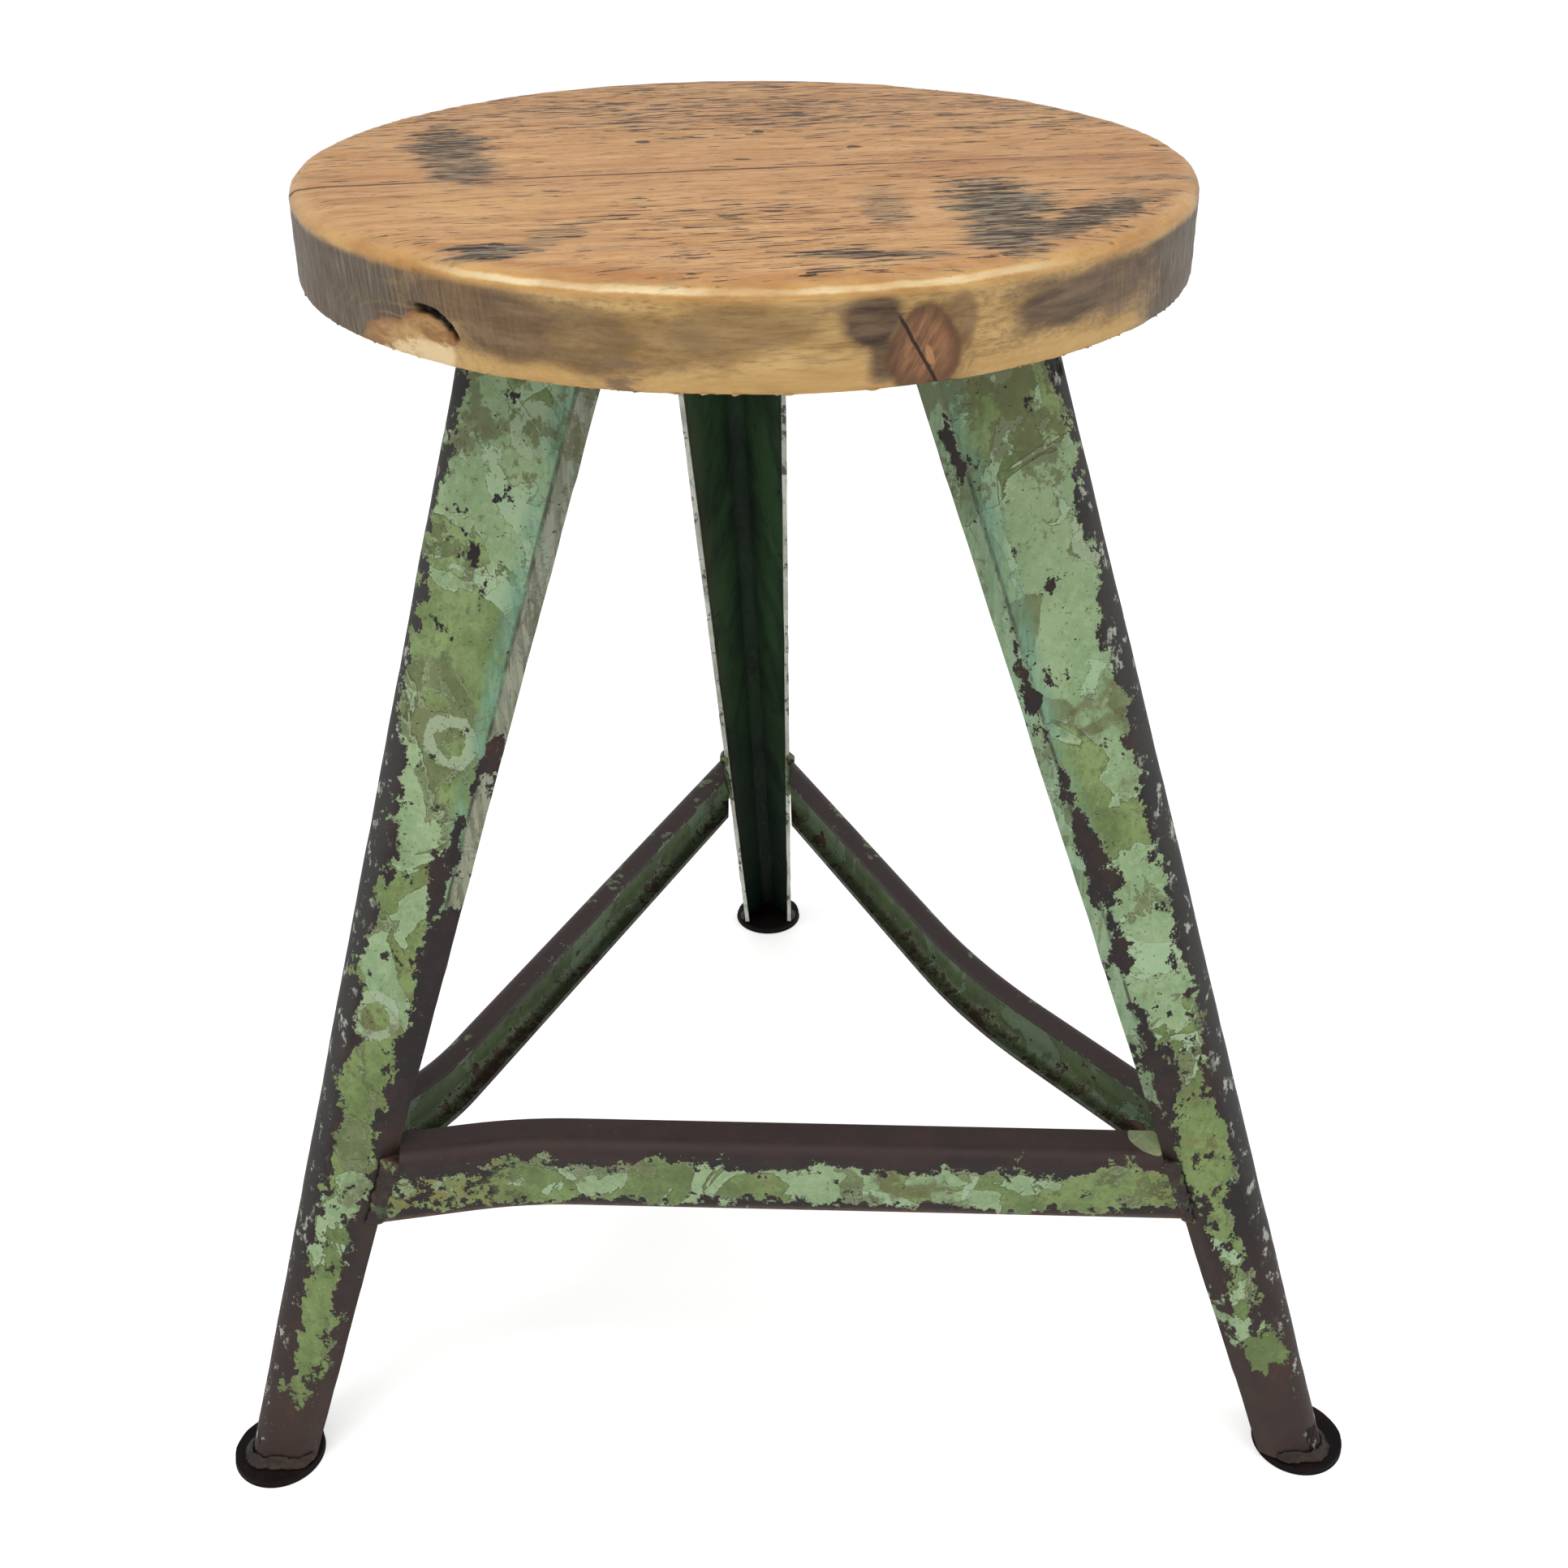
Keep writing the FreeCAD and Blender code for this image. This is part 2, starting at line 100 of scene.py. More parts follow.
bpy.ops.mesh.primitive_plane_add(size=14, location=(0, 0, 0))
floor = bpy.context.active_object
floor.name = "floor"
floor_paint = bpy.data.materials.new("floor_white")
floor_paint.use_nodes = True
paper = floor_paint.node_tree
paper_shader = paper.nodes["Principled BSDF"]
paper_shader.inputs["Base Color"].default_value = (0.97, 0.97, 0.97, 1)
paper_shader.inputs["Roughness"].default_value = 0.85
paper_shader.inputs["Emission Color"].default_value = (1, 1, 1, 1)
floor_rays = paper.nodes.new("ShaderNodeLightPath")
floor_lift = paper.nodes.new("ShaderNodeMath")
floor_lift.operation = "MULTIPLY"
floor_lift.inputs[1].default_value = 0.42
paper.links.new(floor_rays.outputs["Is Camera Ray"], floor_lift.inputs[0])
paper.links.new(floor_lift.outputs[0], paper_shader.inputs["Emission Strength"])
floor.data.materials.append(floor_paint)


# Seat. Two reclaimed pine boards, edge-glued with the grain running left to right, sawn round, sanded and oiled.
# They are planed to fall 5 mm towards the back. The upper edge is rounded, and rubbed smooth at the front.
# Old weathering, nail rust and drying checks stay in the wood, and bark shows in a hollow of the rim.
board_boxes = [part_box(node) for node in ("seat_board_front", "seat_board_back")]
seat_low = Vector([min(low[i] for low, high in board_boxes) for i in range(3)])
seat_high = Vector([max(high[i] for low, high in board_boxes) for i in range(3)])
seat_middle = (seat_low + seat_high) / 2
seat_radius = (seat_high.x - seat_low.x) / 2
seat_front_height = 0.5436
seat_fall = 0.01545
edge_round = 0.005
edge_wear = 0.0018
lower_round = 0.0014
glue_round = 0.0004
bark_depth = 0.0045
hair = 0.0001
grain_turn = math.radians(8.9)
grain = Vector((math.cos(grain_turn), math.sin(grain_turn), 0))
across_grain = Vector((-math.sin(grain_turn), math.cos(grain_turn), 0))
glue_offset = -0.01442
glue_place = seat_middle + across_grain * glue_offset


def top_height(place):
    """Height of the planed top above the floor at a place on the seat."""
    return seat_front_height - seat_fall * (place.y - seat_low.y)


def open_piece(piece, mode="EDIT"):
    """Makes piece the only chosen object and opens it in edit or object mode."""
    if bpy.context.object and bpy.context.object.mode != "OBJECT":
        bpy.ops.object.mode_set(mode="OBJECT")
    bpy.ops.object.select_all(action="DESELECT")
    piece.select_set(True)
    bpy.context.view_layer.objects.active = piece
    bpy.ops.object.mode_set(mode=mode)


def choose_edges(piece, wanted):
    """In edit mode, selects the edges for which wanted(middle, direction) is true."""
    bpy.ops.mesh.select_mode(type="EDGE")
    bpy.ops.mesh.select_all(action="DESELECT")
    shape = bmesh.from_edit_mesh(piece.data)
    for edge in shape.edges:
        start, end = (corner.co for corner in edge.verts)
        edge.select_set(wanted((start + end) / 2, (start - end).normalized()))
    shape.select_flush_mode()
    bmesh.update_edit_mesh(piece.data)


def cut(piece, point, direction, **settings):
    """Cuts the whole mesh along a plane."""
    bpy.ops.mesh.select_all(action="SELECT")
    bpy.ops.mesh.bisect(plane_co=point, plane_no=direction, **settings)


def weigh(piece, name, weight_of):
    """Makes a vertex group whose weight at each vertex is weight_of(place)."""
    group = piece.vertex_groups.new(name=name)
    for vertex in piece.data.vertices:
        weight = weight_of(vertex.co)
        if weight > 0:
            group.add([vertex.index], min(weight, 1.0), "REPLACE")
    return name


def rework(piece, kind, **settings):
    """Adds a modifier of one kind, sets it up and applies it."""
    modifier = piece.modifiers.new(kind.lower(), kind)
    for name, value in settings.items():
        setattr(modifier, name, value)
    open_piece(piece, "OBJECT")
    bpy.ops.object.modifier_apply(modifier=modifier.name)


def press(piece, depth, size, group="", stretch=(1, 1, 1), turn=0.0):
    """Works an uneven surface into piece, nowhere higher than it was: depth at most, bumps about size wide."""
    grain_of = bpy.data.textures.new(piece.name + "_relief", "CLOUDS")
    grain_of.noise_scale = size
    guide = bpy.data.objects.new("relief_guide", None)
    bpy.context.collection.objects.link(guide)
    guide.location = seat_middle
    guide.rotation_euler = (0, 0, turn)
    guide.scale = stretch
    bpy.context.view_layer.update()
    rework(piece, "DISPLACE", texture=grain_of, texture_coords="OBJECT", texture_coords_object=guide,
           strength=depth, mid_level=1.0, vertex_group=group)
    bpy.data.objects.remove(guide)


bpy.ops.object.select_all(action="DESELECT")
bpy.ops.mesh.primitive_cylinder_add(vertices=240, radius=seat_radius, depth=seat_front_height - seat_low.z,
                                    rotation=(0, 0, grain_turn),
                                    location=(seat_middle.x, seat_middle.y, (seat_front_height + seat_low.z) / 2))
disc = bpy.context.active_object
disc.name = "seat_board_front_wood"
bpy.ops.object.transform_apply()
open_piece(disc)
cut(disc, Vector((seat_middle.x, seat_low.y, seat_front_height)), Vector((0, seat_fall, 1)), clear_outer=True,
    use_fill=True)
choose_edges(disc, lambda p, n: p.z > top_height(p) - hair and abs(n.z) < 0.5)
bpy.ops.mesh.bevel(offset=edge_round, segments=6, affect="EDGES")
choose_edges(disc, lambda p, n: p.z < seat_low.z + hair and abs(n.z) < 0.5)
bpy.ops.mesh.bevel(offset=lower_round, segments=2, affect="EDGES")

# Rows of vertices, close enough for the relief
skyward = Vector((0, 0, 1))
for direction, start, spacing, rows in ((across_grain, glue_offset + 0.0005, 0.002, range(-75, 91)),
                                        (grain, 0.0013, 0.006, range(-27, 28)),
                                        (skyward, 0.0, 0.0028, range(-5, 5))):
    for step in rows:
        cut(disc, seat_middle + direction * (start + step * spacing), direction)
bpy.ops.mesh.select_all(action="SELECT")
bpy.ops.mesh.remove_doubles(threshold=0.00012)
bpy.ops.object.mode_set(mode="OBJECT")


def rim_at(angle):
    """How far round the rim an angle in degrees lies, from the right."""
    return math.radians(angle) * seat_radius


def on_rim(place):
    """Distance from the seat's middle and angle round it from the right, in degrees."""
    flat = place - seat_middle
    return math.hypot(flat.x, flat.y), math.degrees(math.atan2(flat.y, flat.x))


def worn_edge(place):
    """How much of the upper edge is worn at a place: most at the front."""
    distance, angle = on_rim(place)
    near_edge = max(0.0, 1 - math.hypot(place.z - top_height(place), distance - seat_radius) / 0.011)
    return near_edge ** 0.7 * (0.3 + 0.7 * max(0.0, math.cos(math.radians(angle + 92))))


bark_middle = Vector((rim_at(-127.9), -0.0135, 0))
bark_size = (0.0142, 0.0124)


def bark_hollow(place):
    """1 in the curved groove at the upper right of the bark, 0 elsewhere."""
    distance, angle = on_rim(place)
    if distance < 0.15 or not -150 < angle < -112:
        return 0.0
    sideways = (rim_at(angle) - bark_middle.x) / bark_size[0]
    upwards = (place.z - seat_middle.z - bark_middle.y) / bark_size[1]
    out = math.hypot(sideways, upwards)
    toward = (0.42 * sideways + 0.91 * upwards) / (out + 0.0001)
    return max(0.0, 1 - abs(out - 1.03) / 0.2) * max(0.0, min(1.0, (toward - 0.7) / 0.12))


rework(disc, "SUBSURF", subdivision_type="SIMPLE", levels=1, render_levels=1)
press(disc, 0.0011, 0.045)
press(disc, 0.00055, 0.0032, stretch=(9, 1, 1.6), turn=grain_turn)
rework(disc, "DISPLACE", direction="Z", strength=-edge_wear, mid_level=0.0,
       vertex_group=weigh(disc, "worn_edge", worn_edge))
rework(disc, "DISPLACE", strength=-bark_depth, mid_level=0.0, vertex_group=weigh(disc, "bark_hollow", bark_hollow))

board_front = disc
board_back = disc.copy()
board_back.data = disc.data.copy()
board_back.name = "seat_board_back_wood"
bpy.context.collection.objects.link(board_back)

for board, keep_back in ((board_front, False), (board_back, True)):
    open_piece(board)
    cut(board, glue_place, across_grain, use_fill=True, clear_inner=keep_back, clear_outer=not keep_back)
    choose_edges(board, lambda p, n: abs((p - glue_place).dot(across_grain)) < hair
                 and p.z > seat_middle.z + 0.01 and abs(n.dot(grain)) > 0.7)
    bpy.ops.mesh.bevel(offset=glue_round, segments=2, affect="EDGES")
    bpy.ops.mesh.select_all(action="SELECT")
    bpy.ops.mesh.normals_make_consistent(inside=False)
    bpy.ops.object.mode_set(mode="OBJECT")
    bpy.ops.object.shade_smooth_by_angle(angle=math.radians(55))


def tint(code):
    """A colour as a paint chart writes it, ready for a shader."""
    parts = [int(code[i:i + 2], 16) / 255 for i in (0, 2, 4)]
    return (*Color(parts).from_srgb_to_scene_linear(), 1.0)


class Value:
    """What a shader node gives out. It is reckoned with like a number."""

    def __init__(self, finish, socket):
        self.finish = finish
        self.socket = socket

    def __add__(self, other):
        return self.finish.sum("ADD", self, other)

    def __sub__(self, other):
        return self.finish.sum("SUBTRACT", self, other)

    def __rsub__(self, other):
        return self.finish.sum("SUBTRACT", other, self)

    def __mul__(self, other):
        return self.finish.sum("MULTIPLY", self, other)

    def __truediv__(self, other):
        return self.finish.sum("DIVIDE", self, other)

    def __abs__(self):
        return self.finish.sum("ABSOLUTE", self)


class Finish:
    """One surface finish. It adds shader nodes, joins them, and feeds the shader."""

    def __init__(self, name):
        self.material = bpy.data.materials.new(name)
        self.material.use_nodes = True
        self.tree = self.material.node_tree
        self.shader = self.tree.nodes["Principled BSDF"]
        self.place = self.add("TexCoord", {}, "Object")

    def feed(self, socket, value):
        if isinstance(value, Value):
            self.tree.links.new(value.socket, socket)
        else:
            socket.default_value = value

    def add(self, kind, inputs, output=0, **settings):
        """Adds a shader node of one kind, sets it up, and gives one of its outputs."""
        node = self.tree.nodes.new("ShaderNode" + kind)
        for name, value in settings.items():
            setattr(node, name, value)
        for name, value in inputs.items():
            self.feed(node.inputs[name], value)
        return Value(self, node.outputs[output])

    def sum(self, operation, first, second=0.0):
        return self.add("Math", {0: first, 1: second}, operation=operation)

    def most(self, first, second):
        return self.sum("MAXIMUM", first, second)

    def least(self, first, second):
        return self.sum("MINIMUM", first, second)

    def length(self, place):
        return self.add("VectorMath", {0: place}, "Value", operation="LENGTH")

    def ramp(self, value, low, high, out_low=0.0, out_high=1.0, kind="SMOOTHSTEP"):
        """Turns the range from low to high into the one from out_low to out_high, with soft ends."""
        inputs = {"Value": value, "From Min": low, "From Max": high, "To Min": out_low, "To Max": out_high}
        return self.add("MapRange", inputs, interpolation_type=kind)

    def line(self, value, low, high, out_low=0.0, out_high=1.0):
        return self.ramp(value, low, high, out_low, out_high, "LINEAR")

    def noise(self, scale, detail, rough, place=None, twist=0.0):
        inputs = {"Vector": place or self.place, "Scale": scale, "Detail": detail, "Roughness": rough,
                  "Distortion": twist}
        return self.add("TexNoise", inputs)

    def cells(self, place, scale, output):
        """Cells like cracked clay: the distance to each one's middle, or its own colour."""
        return self.add("TexVoronoi", {"Vector": place, "Scale": scale}, output)

    def rings(self, place, direction, scale, twist, size, rough=0.5):
        """Wavering rings round one direction."""
        inputs = {"Vector": place, "Scale": scale, "Distortion": twist, "Detail": 5.0, "Detail Scale": size,
                  "Detail Roughness": rough}
        return self.add("TexWave", inputs, "Fac", wave_type="RINGS", rings_direction=direction)

    def moved(self, middle=(0, 0, 0), turn=(0, 0, 0), size=(1, 1, 1), place=None):
        """The place as seen from middle, turned by turn and measured in size."""
        inputs = {"Vector": place or self.place, "Location": middle, "Rotation": turn, "Scale": size}
        return self.add("Mapping", inputs, vector_type="TEXTURE")

    def drawn(self, place, length, start=0.0, side=0.0):
        """The place drawn out along x, for grain that is length times as long as wide."""
        return self.moved((start, side, 0), size=(length, 1, 1), place=place)

    def patch(self, middle, size, turn, ragged, noise, place=None):
        """1 inside a ragged round patch, falling to 0 at its edge."""
        local = self.moved(middle, (0, 0, turn), size, place)
        inside = self.add("TexGradient", {"Vector": local}, "Fac", gradient_type="SPHERICAL")
        return inside + (noise - 0.5) * ragged

    def blend(self, share, first, second):
        first = tint(first) if isinstance(first, str) else first
        second = tint(second) if isinstance(second, str) else second
        return self.add("Mix", {0: share, 6: first, 7: second}, 2, data_type="RGBA")

    def over(self, below, *layers):
        """Lays colours over below. Each follows a value: none of it at low, and most at high."""
        for value, low, high, most, colour in layers:
            below = self.blend(self.ramp(value, low, high, 0.0, most), below, colour)
        return below

    def split(self, place):
        node = self.tree.nodes.new("ShaderNodeSeparateXYZ")
        self.feed(node.inputs[0], place)
        return [Value(self, socket) for socket in node.outputs]

    def join(self, x, y, z):
        return self.add("CombineXYZ", {0: x, 1: y, 2: z})

    def relief(self, *layers):
        """Bumps laid one over another: what each follows, its depth in metres and its strength."""
        normal = None
        for height, depth, strength in layers:
            inputs = {"Height": height, "Distance": depth, "Strength": strength}
            if normal:
                inputs["Normal"] = normal
            normal = self.add("Bump", inputs)
        return normal

    def coat(self, colour, rough, normal, metal=0.0):
        for name, value in (("Base Color", colour), ("Roughness", rough), ("Normal", normal), ("Metallic", metal)):
            self.feed(self.shader.inputs[name], value)
        return self.material


def pine(name, shift):
    """Old oiled pine. Shift moves the growth rings and checks, so that the two boards differ."""
    wood = Finish(name)
    local = wood.moved(seat_middle, (0, 0, grain_turn))
    x, y, z = wood.split(local)
    flat = wood.moved(seat_middle)
    flat_x, flat_y, flat_z = wood.split(flat)
    from_middle = wood.length(wood.join(x, y, 0.0))
    round_rim = wood.sum("ARCTAN2", flat_y, flat_x) * seat_radius
    rim = wood.join(round_rim, flat_z, 0.0)
    top_line = seat_front_height - seat_middle.z - (flat_y + seat_radius) * seat_fall

    # Growth rings and fibres, long in the grain's direction
    wander = wood.noise(3.5, 3, 0.5, wood.drawn(local, 3.5, shift))
    ring_place = wood.join(x * 0.12, y + wander * 0.05, z + (0.06 + shift * 0.2))
    rings = wood.rings(ring_place, "X", 34.0, 2.6, 2.2, 0.66)
    streaks = wood.noise(150, 8, 0.7, wood.drawn(local, 8, shift))
    fibres = wood.noise(800, 4, 0.65, wood.drawn(local, 14, shift))
    pores = wood.noise(1300, 3, 0.6, wood.drawn(local, 7, shift, 0.2))
    clouds = wood.noise(13, 6, 0.62, wood.drawn(local, 2.0, shift))
    blotch = wood.noise(60, 8, 0.66, local)

    top = wood.over(
        "c28c52",
        (streaks, 0.32, 0.68, 1.0, "e0ad72"),
        (clouds, 0.46, 0.7, 0.4, "b87c46"),
        (clouds, 0.44, 0.3, 0.5, "e2b374"),
        (rings, 0.6, 1.0, 0.2, "a56c3e"),
        (fibres, 0.48, 0.68, 0.5, "8f5f36"),
        (fibres, 0.44, 0.3, 0.3, "eec08a"),
        (pores, 0.59, 0.66, 0.45, "704528"),
        (flat_y, 0.02, 0.12, 0.18, "a87752"))

    # Sawn rim: yellower and dirtier than the sanded top, long grain in front and end grain at both ends
    at_ends = wood.ramp(abs(x), 0.08, 0.125)
    long_grain = wood.noise(170, 8, 0.7, wood.drawn(rim, 7, shift))
    end_grain = wood.noise(700, 4, 0.62, wood.moved((0, 0.1, 0), (0, 0, 0.12), (1, 12, 1), rim))
    stain = wood.noise(105, 9, 0.7, wood.drawn(rim, 2.2, 0.2))
    haze = wood.noise(70, 4, 0.5, wood.drawn(rim, 3.2, 0.5))
    soft_edge = haze * 0.45 + long_grain * 0.3
    soft_edge = soft_edge + stain * 0.25
    lines = long_grain * (1.0 - at_ends) + end_grain * at_ends
    side = wood.over(
        "a8834c",
        (long_grain, 0.32, 0.68, 1.0, "d6b176"),
        (haze, 0.46, 0.74, 0.6, "866a3b"),
        (haze, 0.46, 0.28, 0.5, "d6b072"),
        (stain, 0.5, 0.66, 0.22, "6d5330"),
        (fibres, 0.46, 0.68, 0.42, "5f4628"),
        (fibres, 0.44, 0.3, 0.3, "dcb87c"))
    uneven = flat_z + (haze - 0.5) * 0.012
    side = wood.over(side, (uneven, -0.0085, -0.0135, 0.75, wood.blend(long_grain, "b88c4e", "dab577")))

    for angle, height, length, tall, colour, strength in (
        (-124.0, 0.0055, 0.024, 0.0095, "5c4630", 0.9),
        (-116.0, -0.001, 0.02, 0.013, "57422e", 0.9),
        (-107.0, -0.002, 0.016, 0.011, "6a5233", 0.7),
        (-99.0, -0.001, 0.018, 0.01, "80633a", 0.5),
        (-91.5, 0.003, 0.024, 0.01, "755a34", 0.6),
        (-76.3, 0.003, 0.011, 0.013, "3f2c1f", 1.0),
        (-75.2, -0.007, 0.008, 0.009, "463121", 0.95),
        (-66.5, 0.001, 0.006, 0.01, "6b4b2c", 0.75),
        (-51.5, 0.0, 0.024, 0.0105, "45352a", 0.95),
        (-44.0, 0.002, 0.022, 0.012, "4f3f31", 0.88),
        (20.0, 0.0, 0.09, 0.026, "75624d", 0.8),
        (70.0, 0.0, 0.11, 0.02, "7b6347", 0.6),
        (140.0, 0.0, 0.12, 0.022, "6f5d4a", 0.7),
    ):
        mark = wood.patch((rim_at(angle), height, 0), (length * 1.25, tall * 1.25, 1), 0.0, 1.9, soft_edge, rim)
        side = wood.over(side, (mark, 0.12, 0.52, strength, wood.over(colour, (lines, 0.36, 0.64, 0.55, "93785a"))))

    # Grey weathered ends, with fine upright lines and a few pale scratches
    waver = round_rim + (stain - 0.5) * 0.055
    left_end = wood.ramp(waver, rim_at(-122), rim_at(-133)) * wood.ramp(round_rim, rim_at(-179), rim_at(-168))
    right_end = wood.ramp(waver, rim_at(-43), rim_at(-33)) * wood.ramp(round_rim, rim_at(14), rim_at(-8))
    weathered = wood.over(
        "42382f",
        (end_grain, 0.36, 0.62, 1.0, "685d50"),
        (haze, 0.42, 0.64, 0.6, "54402f"),
        (end_grain, 0.64, 0.7, 0.65, "a79a86"))
    side = wood.blend(wood.most(left_end, right_end) * 0.93, side, weathered)

    # The hollow under the grey end: a pale wedge of heart wood, dark bark over its right half, grain bent round it
    wedge = wood.moved((rim_at(-131.4), -0.0195, 0), size=(0.0245, 0.014, 1), place=rim)
    wedge_x, wedge_y, _ = wood.split(wedge)
    pocket = wood.moved(tuple(bark_middle), size=(*bark_size, 1), place=rim)
    pocket_x, pocket_y, _ = wood.split(pocket)
    wedge_out = wood.length(wedge)
    pocket_out = wood.length(pocket)
    uneven_edge = (stain - 0.5) * 0.5
    hollow_out = wood.least(wedge_out, pocket_out) + uneven_edge
    bent = wood.ramp(wood.rings(wedge, "Z", 1.3, 4.0, 1.2), 0.72, 0.98) * wood.ramp(hollow_out, 2.4, 1.2)
    bent = bent * wood.ramp(soft_edge, 0.44, 0.56)
    side = wood.blend(bent * 0.4, side, "9a7f58")
    cream = wedge_x * 0.25 + stain * 1.2
    cream = cream - wedge_y * 0.6
    heart = wood.over(
        "93693f",
        (stain, 0.38, 0.6, 1.0, "c39a63"),
        (cream, 0.28, 0.46, 1.0, "e9cf9f"),
        (hollow_out, 0.78, 0.97, 0.55, "8a5c35"))
    side = wood.over(side, (hollow_out, 1.0, 0.93, 0.96, heart))
    toward = pocket_x * 0.42 + pocket_y * 0.91
    toward = toward / pocket_out
    bark_out = pocket_out + uneven_edge * 0.4
    bark = wood.ramp(abs(bark_out - 1.03), 0.13, 0.07) * wood.ramp(toward, 0.72, 0.84)
    side = wood.blend(bark, side, "1a1110")

    # The red-brown knot, darker round its edge, with a crack down it and a pale sliver beside the crack
    knot_place = wood.moved((rim_at(-70.7), -0.005, 0), size=(0.0112, 0.0135, 1), place=rim)
    knot_x, knot_y, _ = wood.split(knot_place)
    knot_wide = knot_x * (knot_y * 0.32 + 1.0)
    knot_out = wood.length(wood.join(knot_wide, knot_y, 0.0))
    knot_out = knot_out + (soft_edge - 0.5) * 0.8
    upright = wood.noise(420, 6, 0.66, wood.moved((0.3, 0, 0), (0, 0, -0.5), (1, 5, 1), rim))
    sliver = wood.patch((-0.202, -0.008, 0), (0.0016, 0.0046, 1), 0.35, 0.5, stain, rim)
    knot_wood = wood.over(
        "6a4731",
        (upright, 0.36, 0.64, 1.0, "9d6d4a"),
        (knot_out, 0.45, 0.98, 0.8, "573a26"),
        (sliver, 0.1, 0.4, 0.75, "bd8a5c"))
    around = wood.ramp(knot_out, 1.7, 1.0) * wood.ramp(knot_x, -0.3, 0.8)
    side = wood.blend(around * wood.ramp(upright, 0.4, 0.6, 0.25, 0.75), side, "6e4f30")
    side = wood.over(side, (knot_out, 1.14, 0.9, 0.94, knot_wood))
    crack_way = flat_z - 0.0027 + (round_rim + 0.2111) * 1.66
    crack_way = crack_way + (stain - 0.5) * 0.0035
    crack = wood.ramp(abs(crack_way), 0.0004, 0.0013, 1.0, 0.0)
    crack = crack * wood.ramp(flat_z, 0.0065, 0.0035)
    side = wood.blend(crack * 0.92, side, "24140f")

    # Rounded upper edge: honey-coloured, with a painted highlight along the front, drawn as a pale cream line
    rise = flat_z + (stain - 0.5) * 0.003 - top_line
    on_top = wood.ramp(rise, -0.0048, -0.002)
    edge_front = wood.ramp(from_middle, 0.1545, 0.1615) * wood.ramp(flat_y, 0.09, -0.07, 0.25, 1.0)
    honey = edge_front * wood.ramp(rise, -0.0078, -0.0046)
    inside_edge = wood.ramp(from_middle, 0.146, 0.156) * wood.ramp(flat_y, -0.08, -0.14)
    colour = wood.blend(on_top, side, wood.blend(inside_edge * wood.ramp(blotch, 0.4, 0.6, 0.2, 0.7), top,
                                                 "b0733f"))
    colour = wood.blend(honey * 0.85, colour, wood.blend(wood.ramp(soft_edge, 0.36, 0.62), "b17a3c", "deb06c"))
    # Painted highlight: a pale cream line along the front, where the rounding starts
    pale_band = wood.ramp(abs(rise + 0.0036), 0.0013, 0.0004)
    pale_band = pale_band * (wood.ramp(flat_y, -0.124, -0.152) * wood.ramp(haze, 0.4, 0.6, 0.25, 0.95))
    colour = wood.blend(pale_band, colour, "f3dfb0")

    # The glue line, and the browner strip beside it
    beside = wood.ramp(y, glue_offset - 0.013, glue_offset - 0.004) * wood.ramp(y, glue_offset + 0.0006,
                                                                                glue_offset - 0.0004)
    beside = beside * wood.ramp(x, 0.02, 0.1, 0.0, 0.5)
    colour = wood.blend(beside * on_top, colour, "a06f48")
    behind_line = wood.ramp(y, glue_offset + 0.006, glue_offset) * wood.ramp(x, 0.04, -0.06, 0.0, 0.55)
    behind_line = behind_line * wood.ramp(y, glue_offset - 0.0006, glue_offset + 0.0004)
    colour = wood.blend(behind_line * wood.ramp(blotch, 0.42, 0.58), colour, "8d6442")
    glue = wood.ramp(abs(y - glue_offset), 0.0006, 0.0013, 0.85, 0.0)
    colour = wood.blend(glue * wood.ramp(x + blotch * 0.12, 0.24, 0.04, 0.35, 1.0), colour, "54341f")

    # Weathered grey-blue patches in the top, frayed along the grain
    fray = wood.noise(260, 6, 0.7, wood.drawn(local, 7, 0.4))
    cloud_edge = wood.noise(90, 8, 0.7, wood.drawn(local, 1.8))
    edge_noise = fray * 0.6 + cloud_edge * 0.4
    stains = None
    for right, back, length, width, turn, depth in (
        (-0.112, 0.026, 0.022, 0.055, 0.14, 0.85),
        (-0.101, -0.014, 0.021, 0.034, 0.1, 0.85),
        (-0.08, -0.127, 0.02, 0.013, 0.0, 1.0),
        (-0.06, -0.108, 0.028, 0.013, 0.95, 0.5),
        (0.047, -0.072, 0.013, 0.044, 0.0, 0.52),
        (0.087, -0.07, 0.027, 0.058, 0.05, 1.0),
        (0.082, -0.112, 0.02, 0.028, 0.0, 0.95),
        (0.113, -0.087, 0.062, 0.016, 0.87, 0.9),
        (0.142, -0.031, 0.024, 0.007, 0.05, 0.6),
        (0.04, -0.132, 0.034, 0.01, 0.05, 0.8),
    ):
        spot = wood.patch((right, back, 0.015), (length, width, 0.03), turn, 3.4, edge_noise, flat)
        spot = wood.ramp(spot, 0.1, 0.62, 0.0, depth)
        stains = spot if stains is None else wood.most(stains, spot)
    stains = stains * on_top
    threads = wood.noise(640, 4, 0.62, wood.drawn(local, 8, 0.8))
    grey = wood.over(
        "453a30",
        (threads, 0.38, 0.62, 1.0, "a08d72"),
        (pores, 0.55, 0.66, 0.6, "2f2b2a"))
    colour = wood.blend(stains, colour, grey)

